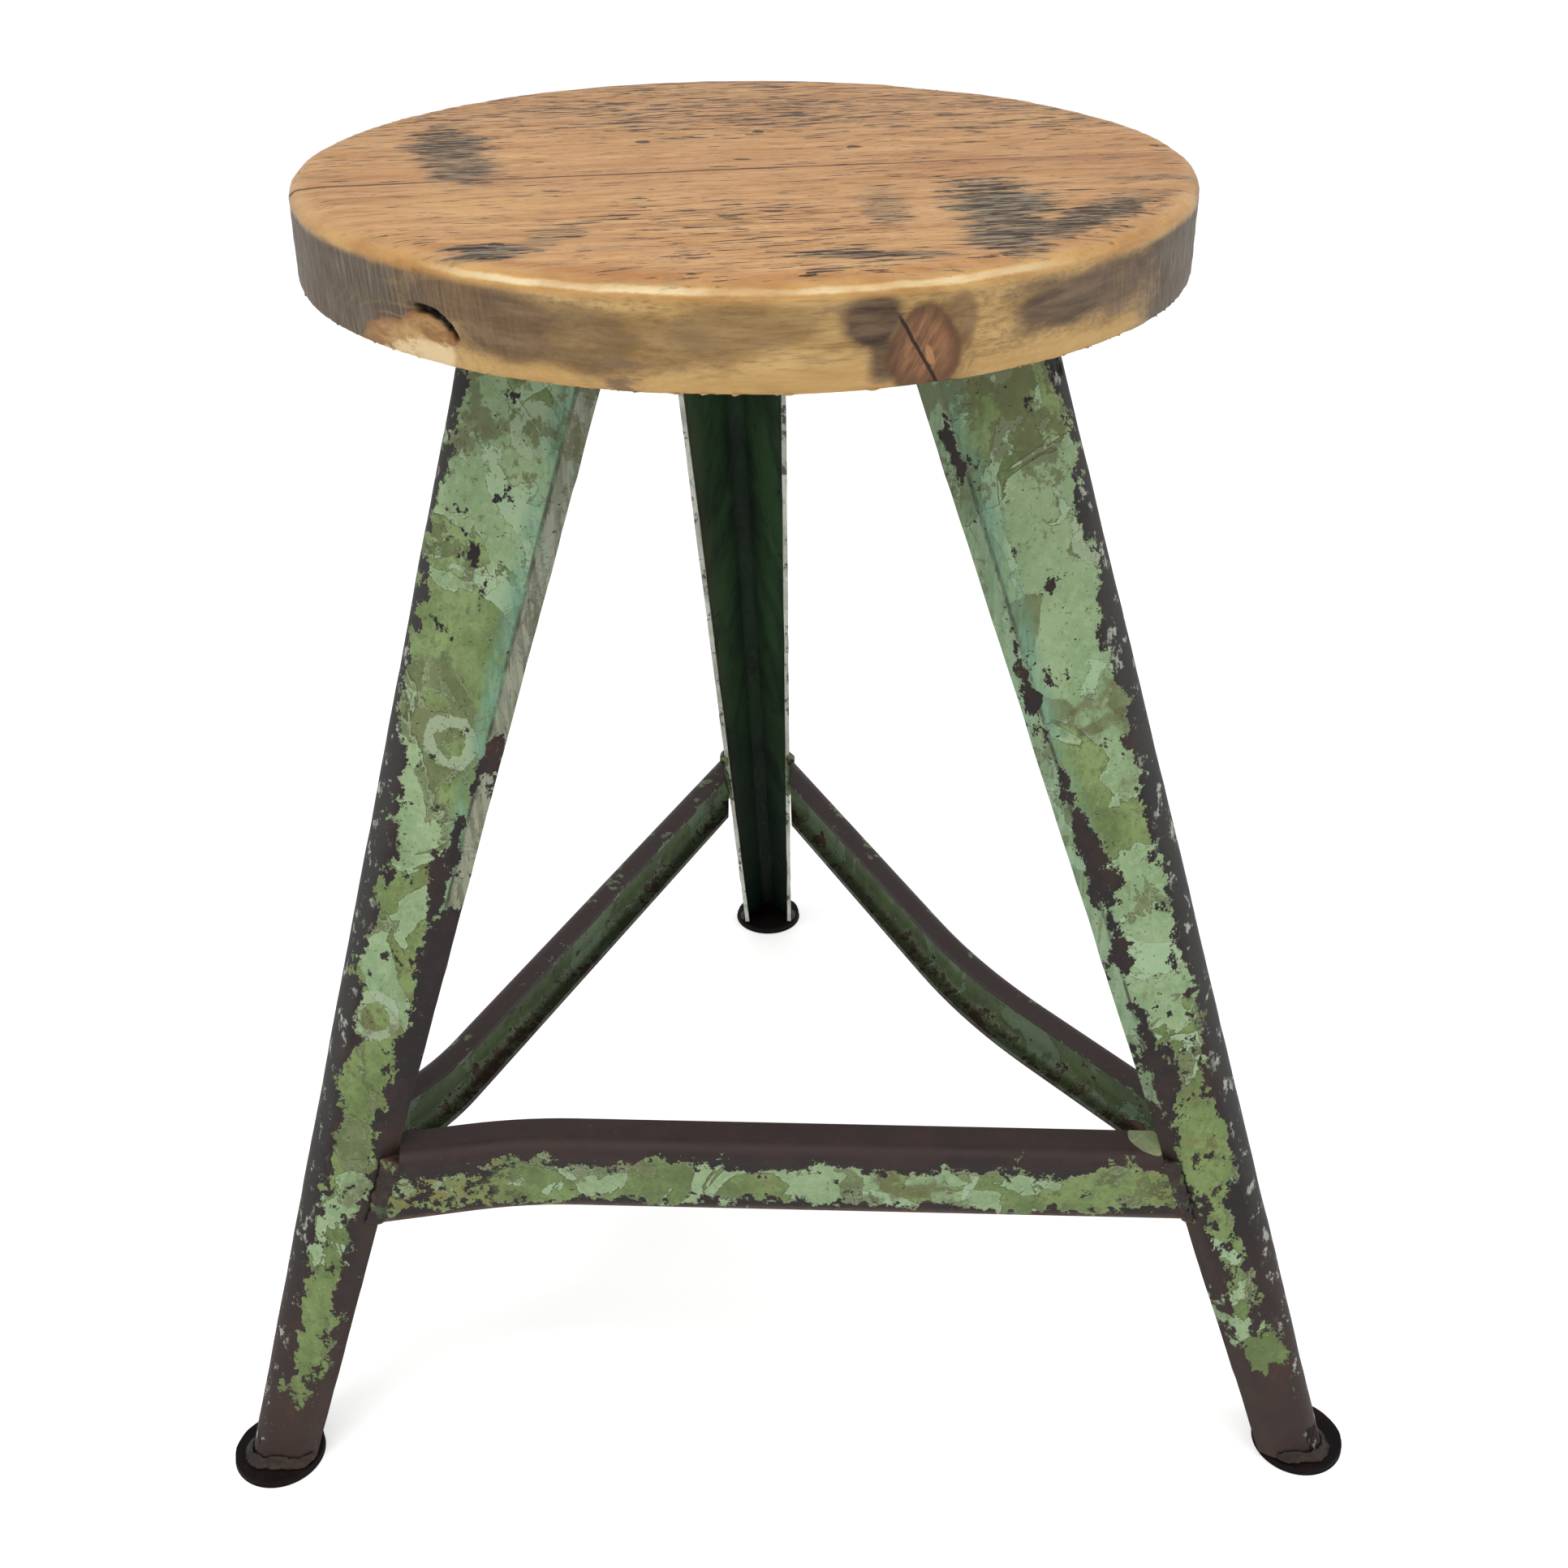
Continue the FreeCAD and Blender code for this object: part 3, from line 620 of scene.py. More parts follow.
    # Drying checks: short dark slits along the grain, thick at the back and in the patches
    slit_noise = wood.noise(700, 3, 0.5, wood.drawn(local, 9.5, shift * 3, 0.3), 0.1)
    crowd = wood.noise(24, 6, 0.66, wood.drawn(local, 1.8, shift, 0.7))
    behind = wood.ramp(flat_y, 0.025, 0.085, 0.0, 0.105)
    in_front = wood.patch((-0.005, -0.09, 0.015), (0.085, 0.06, 0.03), 0.0, 1.0, cloud_edge, flat)
    in_front = wood.ramp(in_front, 0.1, 0.7, 0.0, 0.085)
    amount = wood.most(behind, in_front) + stains * 0.13
    amount = amount + wood.ramp(crowd, 0.38, 0.64, -0.04, 0.035)
    slits = wood.ramp(slit_noise + amount - 0.655, 0.0, 0.014)
    for right, back, length, width in (
        (-0.039, 0.0314, 0.005, 0.0042),
        (0.041, 0.022, 0.005, 0.0032),
        (0.005, 0.051, 0.0036, 0.0036),
        (-0.001, 0.001, 0.006, 0.0022),
    ):
        speck = wood.patch((right, back, 0.015), (length, width, 0.03), 0, 1.2, cloud_edge, flat)
        slits = wood.most(slits, wood.ramp(speck, 0.3, 0.5))
    slits = slits * (on_top * wood.ramp(from_middle, 0.161, 0.1575))
    colour = wood.blend(slits * 0.92, colour, "2f1d13")

    rough = wood.ramp(streaks, 0.3, 0.7, 0.52, 0.42)
    rough = rough + stains * 0.2
    rough = rough - honey * 0.2
    normal = wood.relief((fibres, 0.0003, 0.8), (streaks, 0.0006, 0.5),
                         (1.0 - wood.most(slits, wood.most(crack, bark)), 0.001, 1.0))
    wood.shader.inputs["Specular IOR Level"].default_value = 0.32
    wood.shader.inputs["Coat Weight"].default_value = 0.08
    wood.shader.inputs["Coat Roughness"].default_value = 0.22
    return wood.coat(colour, rough, normal)


for board, node, shift in ((board_front, "seat_board_front", 0.11), (board_back, "seat_board_back", 0.57)):
    board.data.materials.clear()
    board.data.materials.append(pine("pine_" + node, shift))
    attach(board, "root")
    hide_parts(node)


# Legs. Each is one sheet of 3 mm steel folded round a nose and out into two lips, narrower at the foot.
# They were painted several times in greens. The paint has gone from the nose and the lower part,
# in ragged flakes with thick edges, down to dark rusty steel. Inside it is dark and glossy.
leg_middle = Vector((-0.0056, -0.0713, 0.0))
leg_height = 0.508
leg_row, leg_column = 0.00503, 0.0045
leg_top_reach = 0.116
leg_foot_depth, leg_top_depth = 0.025, 0.0482
leg_foot_half, leg_top_half = 0.0147, 0.0269
leg_rows = {
    "leg_left": {
        "direction": 210, "reach": 0.2748, "lean": -0.0085, "shift": 0.0, "nose_top": 0.02, "column": (0.64, 1.25),
        "full_from": 0.33, "lip_from": 0.29, "paint_end": 0.022, "lip_share": 0.92, "olive_from": 0.636,
        "lip_paint": ("6d7260", "a3a38f")},
    "leg_right": {
        "direction": 330, "reach": 0.2855, "lean": -0.0085, "shift": 1.7, "nose_top": 0.06, "column": (0.62, 0.885),
        "full_from": 0.32, "lip_from": 0.176, "paint_end": 0.04, "lip_share": 0.55, "olive_from": 0.624,
        "lip_paint": ("64856a", "93ad8d")},
    "leg_back": {
        "direction": 90, "reach": 0.2988, "lean": 0.019, "shift": 3.1, "nose_top": 0.05, "column": (0.66, 1.25),
        "full_from": 0.2, "lip_from": 0.05, "paint_end": 0.03, "lip_share": 0.8, "olive_from": 0.624,
        "lip_paint": ("6a7f62", "8ca088")},
}


def leg_lines(skin, row):
    """Where a point is on its leg: 0 at the nose to 1 at the lips' ends, -1 to 1 sideways, and height in metres."""
    out, side, up = skin.split(skin.moved(leg_middle, (0, 0, math.radians(row["direction"]))))
    share = up / leg_height
    nose = skin.line(share, 0, 1, row["reach"], leg_top_reach)
    depth = skin.line(share, 0, 1, leg_foot_depth, leg_top_depth)
    half = skin.line(share, 0, 1, leg_foot_half, leg_top_half)
    inward = (nose - out) / depth
    lean = share * row["lean"]
    sideways = (side - lean) / half
    return inward, sideways, up


def bare_steel(skin, place):
    """Colour of the bare steel: purple-brown, with rust and a few pale rubbed flecks."""
    rust = skin.noise(60, 9, 0.68, place)
    speckle = skin.noise(420, 5, 0.65, place)
    soot = skin.noise(28, 9, 0.7, skin.moved((0.6, 0.3, 0.8), place=place))
    colour = skin.over(
        "1b1314",
        (rust, 0.38, 0.6, 1.0, "332422"),
        (rust, 0.56, 0.72, 0.65, "523225"),
        (soot, 0.48, 0.6, 0.6, "151011"),
        (speckle, 0.56, 0.66, 0.35, "16110f"),
        (speckle, 0.36, 0.28, 0.4, "7d7066"))
    return colour, rust, speckle


def green_paint(skin, place, pale, fresh):
    """Colour and height of the old paint: sage under thick paler coats that stand in patches, chips and dirt.
    Pale is how much of the upper coats is left, fresh how light the green is."""
    coats = skin.noise(15, 9, 0.55, place, 0.9)
    second = skin.noise(24, 10, 0.58, skin.moved((0.83, 0.11, 0.29), place=place), 1.1)
    third = skin.noise(34, 9, 0.58, skin.moved((0.45, 0.71, 0.13), place=place), 0.8)
    dirt = skin.noise(27, 9, 0.66, skin.moved((0.31, 0.17, 0.53), place=place))
    grime = skin.noise(85, 9, 0.72, skin.moved((0.11, 0.57, 0.23), place=place))
    fine = skin.noise(300, 6, 0.65, place)
    grit = skin.noise(620, 4, 0.66, place)
    sage = skin.over(
        skin.blend(fresh, "5b6f38", "6b8048"),
        (dirt, 0.38, 0.62, 1.0, skin.blend(fresh, "7b914f", "8fa66d")),
        (fine, 0.46, 0.66, 0.5, "55633a"),
        (grime, 0.54, 0.66, 0.55, "7d7945"))
    level = coats + pale
    upper = second + pale
    mint = skin.ramp(level, 0.512, 0.516)
    mint_colour = skin.over(
        "97b083",
        (dirt, 0.4, 0.6, 1.0, "84a073"),
        (fine, 0.46, 0.62, 0.45, "a7bd93"),
        (grime, 0.57, 0.68, 0.5, "7c8355"))
    colour = skin.blend(mint, sage, mint_colour)
    last = skin.ramp(upper, 0.585, 0.589)
    colour = skin.blend(last * 0.88, colour, skin.blend(fine, "93b38c", "aec6a0"))

    # Islands where the upper coats have come off down to an older olive, and rings left by blisters
    island = skin.ramp(third - pale * 0.5, 0.59, 0.594)
    colour = skin.blend(island * 0.85, colour, skin.blend(skin.ramp(grime, 0.42, 0.58), "5a673a", "727a52"))
    shaken = skin.add("VectorMath", {0: place, 1: skin.join(grime * 0.016, dirt * 0.02, fine * 0.006)},
                      operation="ADD")
    ring = skin.ramp(abs(skin.cells(shaken, 26.0, "Distance") - 0.19), 0.062, 0.052)
    ring = ring * skin.ramp(skin.split(skin.cells(shaken, 26.0, "Color"))[0], 0.7, 0.71)
    colour = skin.blend(ring * 0.75, colour, "a7b997")

    # Thin dark lines where one coat ends on another, and a painted highlight along its upper side
    for height, middle in ((level, 0.514), (upper, 0.587), (third, 0.592)):
        line = abs(height - (middle - 0.003))
        colour = skin.blend(skin.ramp(line, 0.0005, 0.0035, 0.62, 0.0), colour, "3f4829")
        # Painted highlight: a pale line along the coat's raised side
        painted_glint = abs(height - (middle + 0.005))
        colour = skin.blend(skin.ramp(painted_glint, 0.001, 0.0045, 0.4, 0.0), colour, "bccbab")
    colour = skin.over(
        colour,
        (dirt + fine * 0.12, 0.64, 0.7, 0.65, "5c5530"),
        (grit, 0.6, 0.67, 0.6, "47502f"),
        (grit, 0.38, 0.32, 0.3, "b5c2a2"))
    height = mint * 0.6 + last * 0.5
    height = height + ring * 0.4 - island * 0.5
    return colour, height + fine * 0.25, grime


def flaking(skin, colour, painted, paint_height, rust, speckle, metal):
    """Gloss and relief of paint that flakes off rusty steel. Painted is 1 where there is paint."""
    rough = skin.line(painted, 0, 1, skin.ramp(rust, 0.3, 0.7, 0.5, 0.66), 0.5)
    normal = skin.relief((rust, 0.0006, 0.7), (speckle, 0.00015, 1.0),
                         (painted + painted * paint_height, 0.0004, 1.0))
    return skin.coat(colour, rough, normal, skin.line(painted, 0, 1, metal, 0.0))


def leg_outside(name, row):
    """Green paint on steel, worn off the nose, the edges and the lower leg."""
    skin = Finish(name)
    inward, _, up = leg_lines(skin, row)
    place = skin.moved((row["shift"], row["shift"] * 0.6, 0), size=(1, 1, 1.25))
    steel, rust, speckle = bare_steel(skin, place)
    steel = skin.over(steel, (up, 0.16, 0.04, 0.45, skin.blend(rust, "33231f", "553a2e")))
    nose = skin.ramp(inward, 0.2, 0.06)
    steel = skin.blend(nose * skin.ramp(up, 0.06, 0.2, 0.1, 0.75), steel, skin.blend(rust, "272727", "484745"))
    flecks = skin.noise(230, 8, 0.72, skin.moved((0.4, row["shift"], 0), size=(1, 1, 2.2)))
    steel = skin.blend(nose * skin.ramp(flecks, 0.57, 0.62, 0.0, 0.85), steel, "b2b8aa")

    # The stretchers' welds burnt the paint off beside them
    burnt = skin.ramp(abs(up - 0.142), 0.046, 0.018) * skin.ramp(inward, 0.7, 0.86)
    steel = skin.blend(burnt * 0.6, steel, skin.blend(rust, "2c201d", "4d3729"))

    pale = skin.ramp(up, 0.2, 0.44, -0.045, 0.025)
    fresh = skin.ramp(up, 0.25, 0.44, 0.25, 1.0)
    paint, paint_height, grime = green_paint(skin, place, pale, fresh)
    lip = skin.ramp(inward, 0.77, 0.81)
    lip_lines = skin.noise(330, 6, 0.7, skin.moved((row["shift"], 0, 0), size=(1, 1, 14)))
    lip_marks = skin.noise(110, 9, 0.7, skin.moved((row["shift"], 0.5, 0), size=(1, 1, 3)))
    dark_lip, light_lip = row["lip_paint"]
    lip_paint = skin.over(
        dark_lip,
        (lip_lines, 0.36, 0.62, 1.0, light_lip),
        (lip_lines, 0.6, 0.66, 0.7, "4a4636"),
        (lip_marks, 0.55, 0.58, 0.65, "57543f"),
        (lip_marks, 0.42, 0.39, 0.6, "8db09a"))
    paint = skin.blend(lip * skin.ramp(up, 0.15, 0.35, 0.5, row["lip_share"]), paint, lip_paint)
    beside_lip = skin.ramp(inward, 0.58, 0.72) * skin.ramp(up, 0.22, 0.32)
    beside_lip = beside_lip * (1.0 - lip)
    paint = skin.blend(beside_lip * skin.ramp(lip_marks, 0.4, 0.6, 0.85, 0.15), paint,
                       skin.blend(skin.ramp(lip_lines, 0.4, 0.6), "5f8a70", "7ba68c"))
    bend = skin.ramp(abs(inward - 0.785), 0.03, 0.01) * skin.ramp(lip_marks, 0.4, 0.55, 0.2, 0.85)
    paint = skin.blend(bend, paint, "36372a")
    # Olive-brown at the top under the seat: grime, and painted shadow of the seat
    under_seat = skin.ramp(up + grime * 0.34, row["olive_from"], row["olive_from"] + 0.012)
    paint = skin.blend(under_seat * 0.7, paint, skin.blend(grime, "4d4a2c", "6c7048"))

    # How much paint is left: a column down the flank that narrows towards the foot, and the lips' bands
    flakes = skin.noise(40, 13, 0.68, place, 0.35)
    crumbs = skin.noise(170, 8, 0.72, place)
    ragged = (flakes - 0.5) * 0.85 + (crumbs - 0.5) * 0.5
    ragged = ragged * skin.line(up, 0.04, 0.42, 1.9, 0.75)
    from_nose = inward - skin.line(up, 0.02, 0.44, 0.33, row["nose_top"])
    column_end = skin.ramp(up, row["full_from"] - 0.02, row["full_from"] + 0.06, *row["column"])
    column = skin.least(from_nose, column_end - inward)
    column = column + skin.ramp(up, 0.2, 0.08, 0.0, 0.05)
    below_joint = 0.03 - abs(up - 0.095)
    lip_reach = skin.most((up - row["lip_from"]) * 2.0, below_joint * 3.0 - 0.1)
    on_lip = skin.least(inward - 0.8, lip_reach)
    left = skin.most(column, on_lip) + ragged
    left = left - skin.ramp(up, row["paint_end"] + 0.02, row["paint_end"] - 0.008, 0.0, 1.0)
    left = left - burnt * 0.3
    painted = skin.ramp(left, 0.0, 0.012)
    chips = skin.noise(75, 11, 0.7, place) + skin.line(up, 0.08, 0.45, 0.06, 0.0)
    painted = painted * skin.ramp(chips, 0.64, 0.634)
    nicks = skin.noise(240, 8, 0.72, skin.moved((0.7, row["shift"], 0.2), size=(1, 1, 0.6)))
    painted = painted * skin.ramp(nicks, 0.66, 0.65)
    fringe = skin.ramp(left, 0.045, 0.015) * skin.ramp(chips, 0.6, 0.63, 0.6, 1.0)
    paint = skin.blend(fringe * 0.45, paint, "a3ad8c")
    colour = skin.blend(painted, steel, paint)
    return flaking(skin, colour, painted, paint_height, rust, speckle, 0.12)


def leg_inside(name, row):
    """The inner face: dark glossy green with painted shade down the middle of the fold, nearly black towards the
    foot, with drips and dust.
    """
    skin = Finish(name)
    inward, sideways, up = leg_lines(skin, row)
    place = skin.moved((row["shift"], 0, 0), size=(1, 1, 2.5))
    cloud = skin.noise(30, 8, 0.64, place)
    streak = skin.noise(150, 6, 0.64, skin.moved((row["shift"], 0, 0), size=(1, 1, 9)))
    # Dark green paint; the darker middle of the fold is painted shade
    colour = skin.over(
        "243628",
        (cloud, 0.38, 0.62, 1.0, "3c5a39"),
        (abs(sideways), 0.4, 0.1, 0.5, "1b2822"))
    colour = skin.blend(skin.ramp(sideways, 0.62, 0.86) * skin.ramp(streak, 0.35, 0.6, 0.3, 0.8), colour, "4b4735")
    colour = skin.over(
        colour,
        (up, 0.26, 0.05, 0.85, "0a1714"),
        (streak, 0.56, 0.7, 0.3, "56664a"))
    rust = skin.noise(70, 10, 0.7, skin.moved((row["shift"], 0.4, 0)))
    colour = skin.over(colour, (rust, 0.62, 0.64, 0.75, "33261e"))
    crease = skin.ramp(abs(sideways), 0.24, 0.1)
    film = skin.noise(60, 10, 0.7, skin.moved((row["shift"], 0, 0), size=(1, 1, 3)))
    pale_band = skin.ramp(inward, 0.74, 0.92) * skin.ramp(sideways, 0.1, 0.2) + (film - 0.5) * 2.2
    colour = skin.over(colour, (pale_band, 0.62, 0.7, 0.9, skin.blend(film, "8f9385", "c6c8bc")))
    normal = skin.relief((cloud, 0.0012, 0.5), (streak, 0.0002, 1.0), (skin.ramp(rust, 0.64, 0.62), 0.0003, 1.0))
    return skin.coat(colour, skin.ramp(streak, 0.3, 0.7, 0.3, 0.46) + crease * 0.5, normal)


def leg_edge(name, row):
    """The lips' cut edges: paint rubbed to a pale dusty film, with mint flakes and dark nicks."""
    skin = Finish(name)
    film = skin.noise(60, 10, 0.7, skin.moved((row["shift"], 0, 0), size=(1, 1, 3)))
    nicks = skin.noise(120, 9, 0.7, skin.moved((row["shift"], 0.3, 0), size=(1, 1, 2)))
    colour = skin.over(
        "b0b2a5",
        (film, 0.4, 0.6, 1.0, "dcdcd1"),
        (film, 0.61, 0.64, 0.7, "8fae94"),
        (nicks, 0.56, 0.6, 0.9, "3c352e"))
    normal = skin.relief((skin.ramp(nicks, 0.6, 0.56), 0.0004, 1.0))
    return skin.coat(colour, 0.55, normal)


def open_copy(name, ending):
    """A copy of a CAD node with its seams closed, all selected in edit mode."""
    piece = nodes[name].copy()
    piece.data = nodes[name].data.copy()
    piece.name = name + ending
    bpy.context.collection.objects.link(piece)
    piece.parent = None
    open_piece(piece)
    bpy.ops.mesh.select_all(action="SELECT")
    bpy.ops.mesh.remove_doubles(threshold=0.00002)
    return piece


for name, row in leg_rows.items():
    angle = math.radians(row["direction"])
    outward = Vector((math.cos(angle), math.sin(angle), 0))
    sideward = Vector((-math.sin(angle), math.cos(angle), 0))

    def section_middle(height):
        """Middle of the leg's section at a height."""
        share = height / leg_height
        reach = row["reach"] + (leg_top_reach - row["reach"]) * share
        depth = leg_foot_depth + (leg_top_depth - leg_foot_depth) * share
        sideways = sideward * (row["lean"] * share)
        return leg_middle + outward * (reach - depth / 2) + sideways + Vector((0, 0, height))

    leg = open_copy(name, "_plate")
    bpy.ops.mesh.dissolve_limited(angle_limit=math.radians(0.6))
    for step in range(1, 101):
        cut(leg, skyward * (step * leg_row), skyward)
    slant = (section_middle(0.5) - section_middle(0.0)).normalized()
    for step in range(-5, 6):
        cut(leg, section_middle(0.25) + outward * (step * leg_column), sideward.cross(slant))
    bpy.ops.object.mode_set(mode="OBJECT")
    leg.data.materials.clear()
    leg.data.materials.append(leg_outside("paint_" + name, row))
    leg.data.materials.append(leg_inside("inside_" + name, row))
    leg.data.materials.append(leg_edge("edge_" + name, row))
    for face in leg.data.polygons:
        from_middle = face.center - section_middle(face.center.z)
        face.material_index = 1 if from_middle.dot(face.normal) < 0 else 0
        if face.normal.dot(-outward) > 0.8 and from_middle.dot(-outward) > 0.0105:
            face.material_index = 2
    press(leg, 0.0007, 0.035)
    press(leg, 0.00025, 0.007)
    bpy.ops.object.shade_smooth_by_angle(angle=math.radians(35))
    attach(leg, "root")
    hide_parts(name)


# Stretchers. Three bent channels of 2.6 mm steel between the legs, open towards the middle.
# The upper flange and its corner are worn to bare brown steel by boots, the web keeps its green paint
# in a ragged band, rusty along the bottom, and the lower flange holds old dirt. Painted shade darkens the back two,
# most on their lower flange.
def channel_paint(name, bottom, top, shade, paint_top, paint_bottom, mottled_end):
    """Shade is painted shade: it darkens the paint, and with old dirt the lower flange. The paint's band runs
    between two shares of the channel's height.
    """
    skin = Finish(name)
    across, _, up = skin.split(skin.place)
    share = skin.line(up, bottom, top)
    steel, rust, speckle = bare_steel(skin, skin.moved(size=(1.5, 1.5, 1)))
    rusty = skin.blend(skin.ramp(speckle, 0.42, 0.58), "4a3323", "6a4c30")
    steel = skin.over(
        steel,
        (share, 0.7, 0.98, 0.6, skin.blend(rust, "2c1e1e", "45302b")),
        (share, 0.2, 0.1, 0.6, rusty))
    paint, paint_height, grime = green_paint(skin, skin.moved((2.3, 0.4, 0.1)), -0.045, 0.3)
    paint = skin.blend(shade, paint, skin.blend(rust, "18241a", "35482e"))
    flakes = skin.noise(50, 13, 0.7, skin.moved((1.3, 0.2, 0), size=(1.25, 1.25, 1)), 0.3)
    crumbs = skin.noise(190, 8, 0.72)
    ragged = (flakes - 0.5) * 1.1 + (crumbs - 0.5) * 0.7
    band = skin.least(paint_top - share, share - paint_bottom)
    left = band + ragged
    painted = skin.ramp(left, 0.0, 0.015)
    chips = skin.noise(80, 11, 0.7, skin.moved((0.6, 0.2, 0.9)))
    painted = painted * skin.ramp(chips, 0.63, 0.622)

    # Mustard speckles where the left end was rubbed down and went rusty
    mottle = skin.most(skin.ramp(across, mottled_end, mottled_end - 0.03),
                       skin.ramp(across, 0.135, 0.17, 0.0, 0.8 if mottled_end > -0.5 else 0.0))
    paint = skin.blend(mottle * skin.ramp(grime, 0.5, 0.44, 0.2, 0.9), paint, "847a42")
    painted = painted * (1.0 - mottle * skin.ramp(crumbs, 0.49, 0.47))

    # The last drip of paint on the front stretcher's upper flange, beside the right leg
    drip = skin.patch((0.151, -0.1822, top), (0.0115, 0.0078, 0.03), -0.88, 0.7, flakes)
    painted = skin.most(painted, skin.ramp(drip, 0.18, 0.22) * skin.ramp(across, 0.12, 0.125))
    edge = painted * skin.ramp(left, 0.07, 0.02)
    paint = skin.blend(edge * 0.4, paint, "a3ad8c")
    colour = skin.blend(painted, steel, paint)
    # Near black on the back two's lower flange: old dirt and painted shade together
    dirt = skin.ramp(share, 0.14, 0.05) * shade
    colour = skin.blend(dirt, colour, "0f0e0c")
    return flaking(skin, colour, painted, paint_height, rust, speckle, 0.1)


for name, shade, paint_top, paint_bottom, mottled_end in (
    ("stretcher_front", 0.0, 0.78, 0.2, -0.105),
    ("stretcher_left", 0.7, 0.86, 0.05, -1.0),
    ("stretcher_right", 0.66, 0.86, 0.05, -1.0),
):
    low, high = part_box(name)
    finish = channel_paint("paint_" + name, low.z, high.z, shade, paint_top, paint_bottom, mottled_end)
    for slot in nodes[name].material_slots:
        slot.material = finish


# Feet. Round steel discs 4 mm thick, level on the floor, nearly black with dirt and rust.
# Each is rounded at the rim and worked a little uneven from years of dragging.
def foot_iron():
    skin = Finish("foot_iron")
    steel, rust, speckle = bare_steel(skin, skin.place)
    colour = skin.blend(skin.ramp(rust, 0.35, 0.65, 0.95, 0.72), steel, "0b0708")
    colour = skin.over(colour, (speckle, 0.62, 0.68, 0.35, "3f2f28"))
    skin.shader.inputs["Specular IOR Level"].default_value = 0.14
    normal = skin.relief((rust, 0.001, 0.8), (speckle, 0.0003, 1.0))
    return skin.coat(colour, skin.ramp(rust, 0.3, 0.7, 0.55, 0.75), normal)


iron = foot_iron()
foot_round = 0.0014
foot_row = 0.0021
for name in ("foot_left", "foot_right", "foot_back"):
    low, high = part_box(name)
    middle = (low + high) / 2
    bpy.ops.object.select_all(action="DESELECT")
    bpy.ops.mesh.primitive_cylinder_add(vertices=72, radius=(high.x - low.x) / 2, depth=high.z - low.z,
                                        location=middle)
    foot = bpy.context.active_object
    foot.name = name + "_disc"
    bpy.ops.object.transform_apply()
    open_piece(foot)
    choose_edges(foot, lambda p, n: abs(n.z) < 0.5)
    bpy.ops.mesh.bevel(offset=foot_round, segments=4, affect="EDGES")
    for step in range(-9, 10):
        cut(foot, middle + Vector((step * foot_row, 0, 0)), Vector((1, 0, 0)))
        cut(foot, middle + Vector((0, step * foot_row, 0)), Vector((0, 1, 0)))
    bpy.ops.mesh.select_all(action="SELECT")
    bpy.ops.mesh.remove_doubles(threshold=0.00015)
    bpy.ops.object.mode_set(mode="OBJECT")
    off_floor = weigh(foot, "off_floor", lambda p: 1.0 if p.z > 0.0006 else 0.0)
    press(foot, 0.0011, 0.012, off_floor)
    press(foot, 0.0004, 0.0035, off_floor)
    bpy.ops.object.shade_smooth_by_angle(angle=math.radians(50))
    foot.data.materials.append(iron)
    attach(foot, "root")
    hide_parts(name)


# Welds. Each bead was laid by hand along its joint, so it is lumpy, and it has no sharp edge.
# Some beads have gone rusty, others were painted over with the rest.
def weld_metal(name, painted_share, paint_light, dark):
    skin = Finish(name)
    steel, rust, speckle = bare_steel(skin, skin.place)
    steel = skin.blend(skin.ramp(rust, 0.46, 0.6, 0.15, 0.75), steel, skin.blend(speckle, "3f2b20", "654a31"))
    steel = skin.blend(dark, steel, "120d0d")
    flakes = skin.noise(90, 10, 0.7, skin.moved((0.2, 0.9, 0.4)))
    paint = skin.blend(skin.ramp(rust, 0.4, 0.6), "3d4c2f", paint_light)
    painted = skin.ramp(flakes, 0.5 + (0.5 - painted_share) * 0.35, 0.51 + (0.5 - painted_share) * 0.35)
    colour = skin.blend(painted, steel, paint)
    normal = skin.relief((skin.cells(skin.place, 380, "Distance"), 0.0006, 0.7), (rust, 0.0008, 1.0))
    return skin.coat(colour, skin.ramp(rust, 0.3, 0.7, 0.4, 0.62), normal, 0.15)


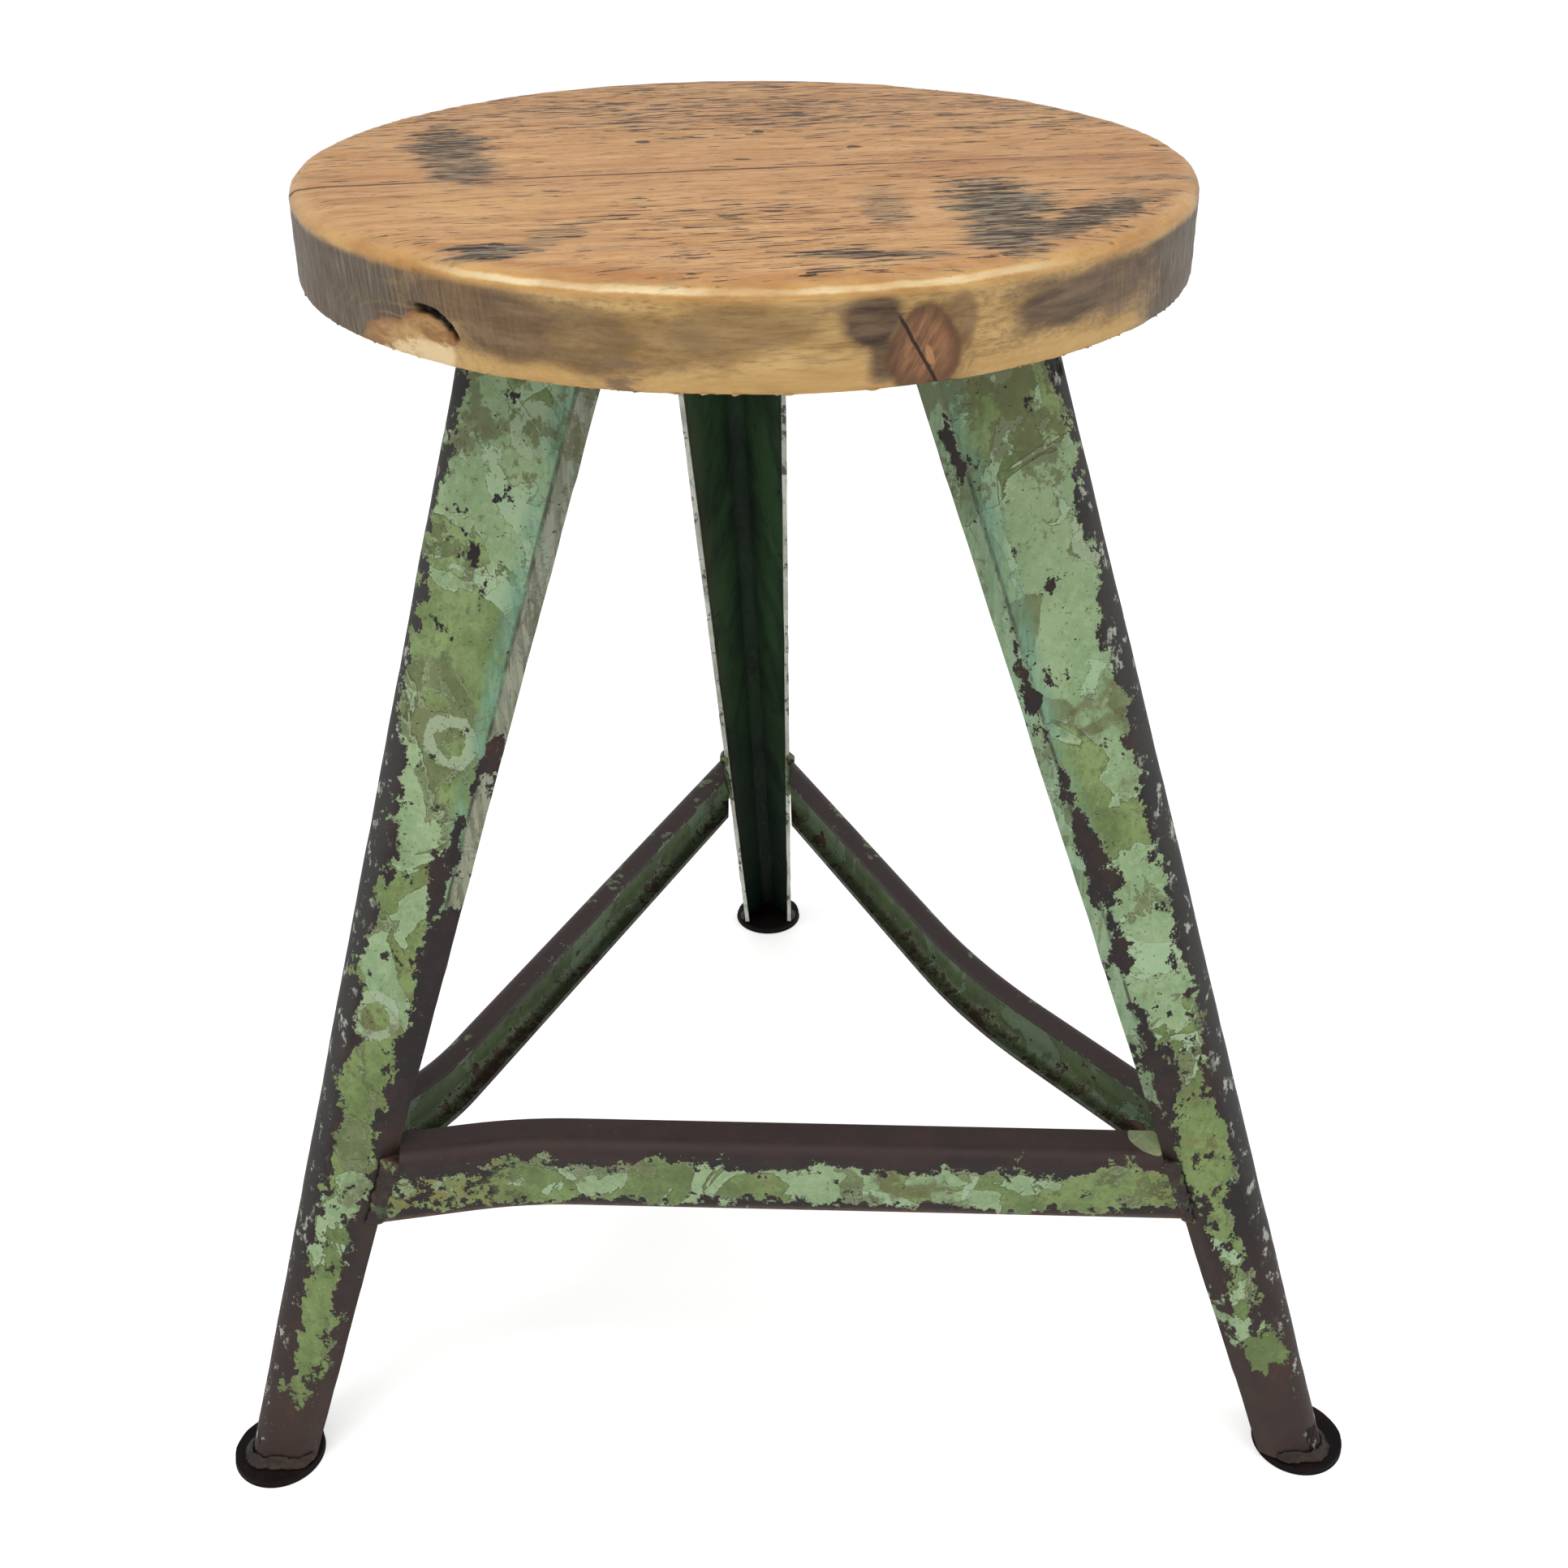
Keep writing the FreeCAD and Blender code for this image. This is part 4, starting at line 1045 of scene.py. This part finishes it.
bead_finish = {
    "weld_front": weld_metal("weld_front", 0.32, "7a8a58", 0.0),
    "weld_left": weld_metal("weld_left", 0.75, "6f8757", 0.1),
    "weld_right": weld_metal("weld_right", 0.75, "6f8757", 0.1),
    "weld_top": weld_metal("weld_top", 0.6, "4f6038", 0.2),
    "weld_foot": weld_metal("weld_foot", -0.6, "5a5038", 0.55),
}
bead_mesh = 0.0007
lump_depth = 0.0018
lump_size = 0.0045
for name in [n for n in nodes if n.startswith("weld")]:
    bead = open_copy(name, "_bead")
    rework(bead, "REMESH", mode="VOXEL", voxel_size=bead_mesh)
    rework(bead, "SMOOTH", factor=0.6, iterations=6)
    lumps = bpy.data.textures.new(name + "_lumps", "CLOUDS")
    lumps.noise_scale = lump_size
    rework(bead, "DISPLACE", texture=lumps, texture_coords="GLOBAL", strength=lump_depth,
           mid_level=0.0 if name.startswith("weld_front") else 0.42)
    bpy.ops.object.shade_smooth()
    bead.data.materials.clear()
    bead.data.materials.append(next(f for key, f in bead_finish.items() if name.startswith(key)))
    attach(bead, "root")
    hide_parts(name)


# Plate and screws under the seat. The plate is painted dark green like the legs' insides,
# and the slotted screws and their washers are dull zinc that has gone grey.
def plate_paint():
    skin = Finish("plate_green")
    _, rust, _ = bare_steel(skin, skin.place)
    cloud = skin.noise(18, 9, 0.66)
    colour = skin.over(
        "2b3d25",
        (cloud, 0.38, 0.62, 1.0, "4a5c3c"),
        (rust, 0.58, 0.6, 0.9, "3f2f28"))
    normal = skin.relief((cloud, 0.001, 0.6), (skin.ramp(rust, 0.6, 0.58), 0.0004, 1.0))
    return skin.coat(colour, skin.ramp(rust, 0.3, 0.7, 0.35, 0.6), normal)


def dull_zinc(name, dark, light):
    skin = Finish(name)
    cloud = skin.noise(300, 7, 0.64)
    stain = skin.noise(90, 8, 0.7)
    colour = skin.over(
        dark,
        (cloud, 0.38, 0.62, 1.0, light),
        (stain, 0.56, 0.66, 0.8, "5a4030"))
    normal = skin.relief((cloud, 0.0002, 1.0))
    return skin.coat(colour, skin.ramp(cloud, 0.3, 0.7, 0.35, 0.55), normal, 0.8)


for name, finish in (("top_plate", plate_paint()), ("seat_screws", dull_zinc("screw_steel", "5f5c56", "8f8b82")),
                     ("seat_washers", dull_zinc("washer_zinc", "6e6b64", "a19c92"))):
    for slot in nodes[name].material_slots:
        slot.material = finish


bpy.context.view_layer.update()
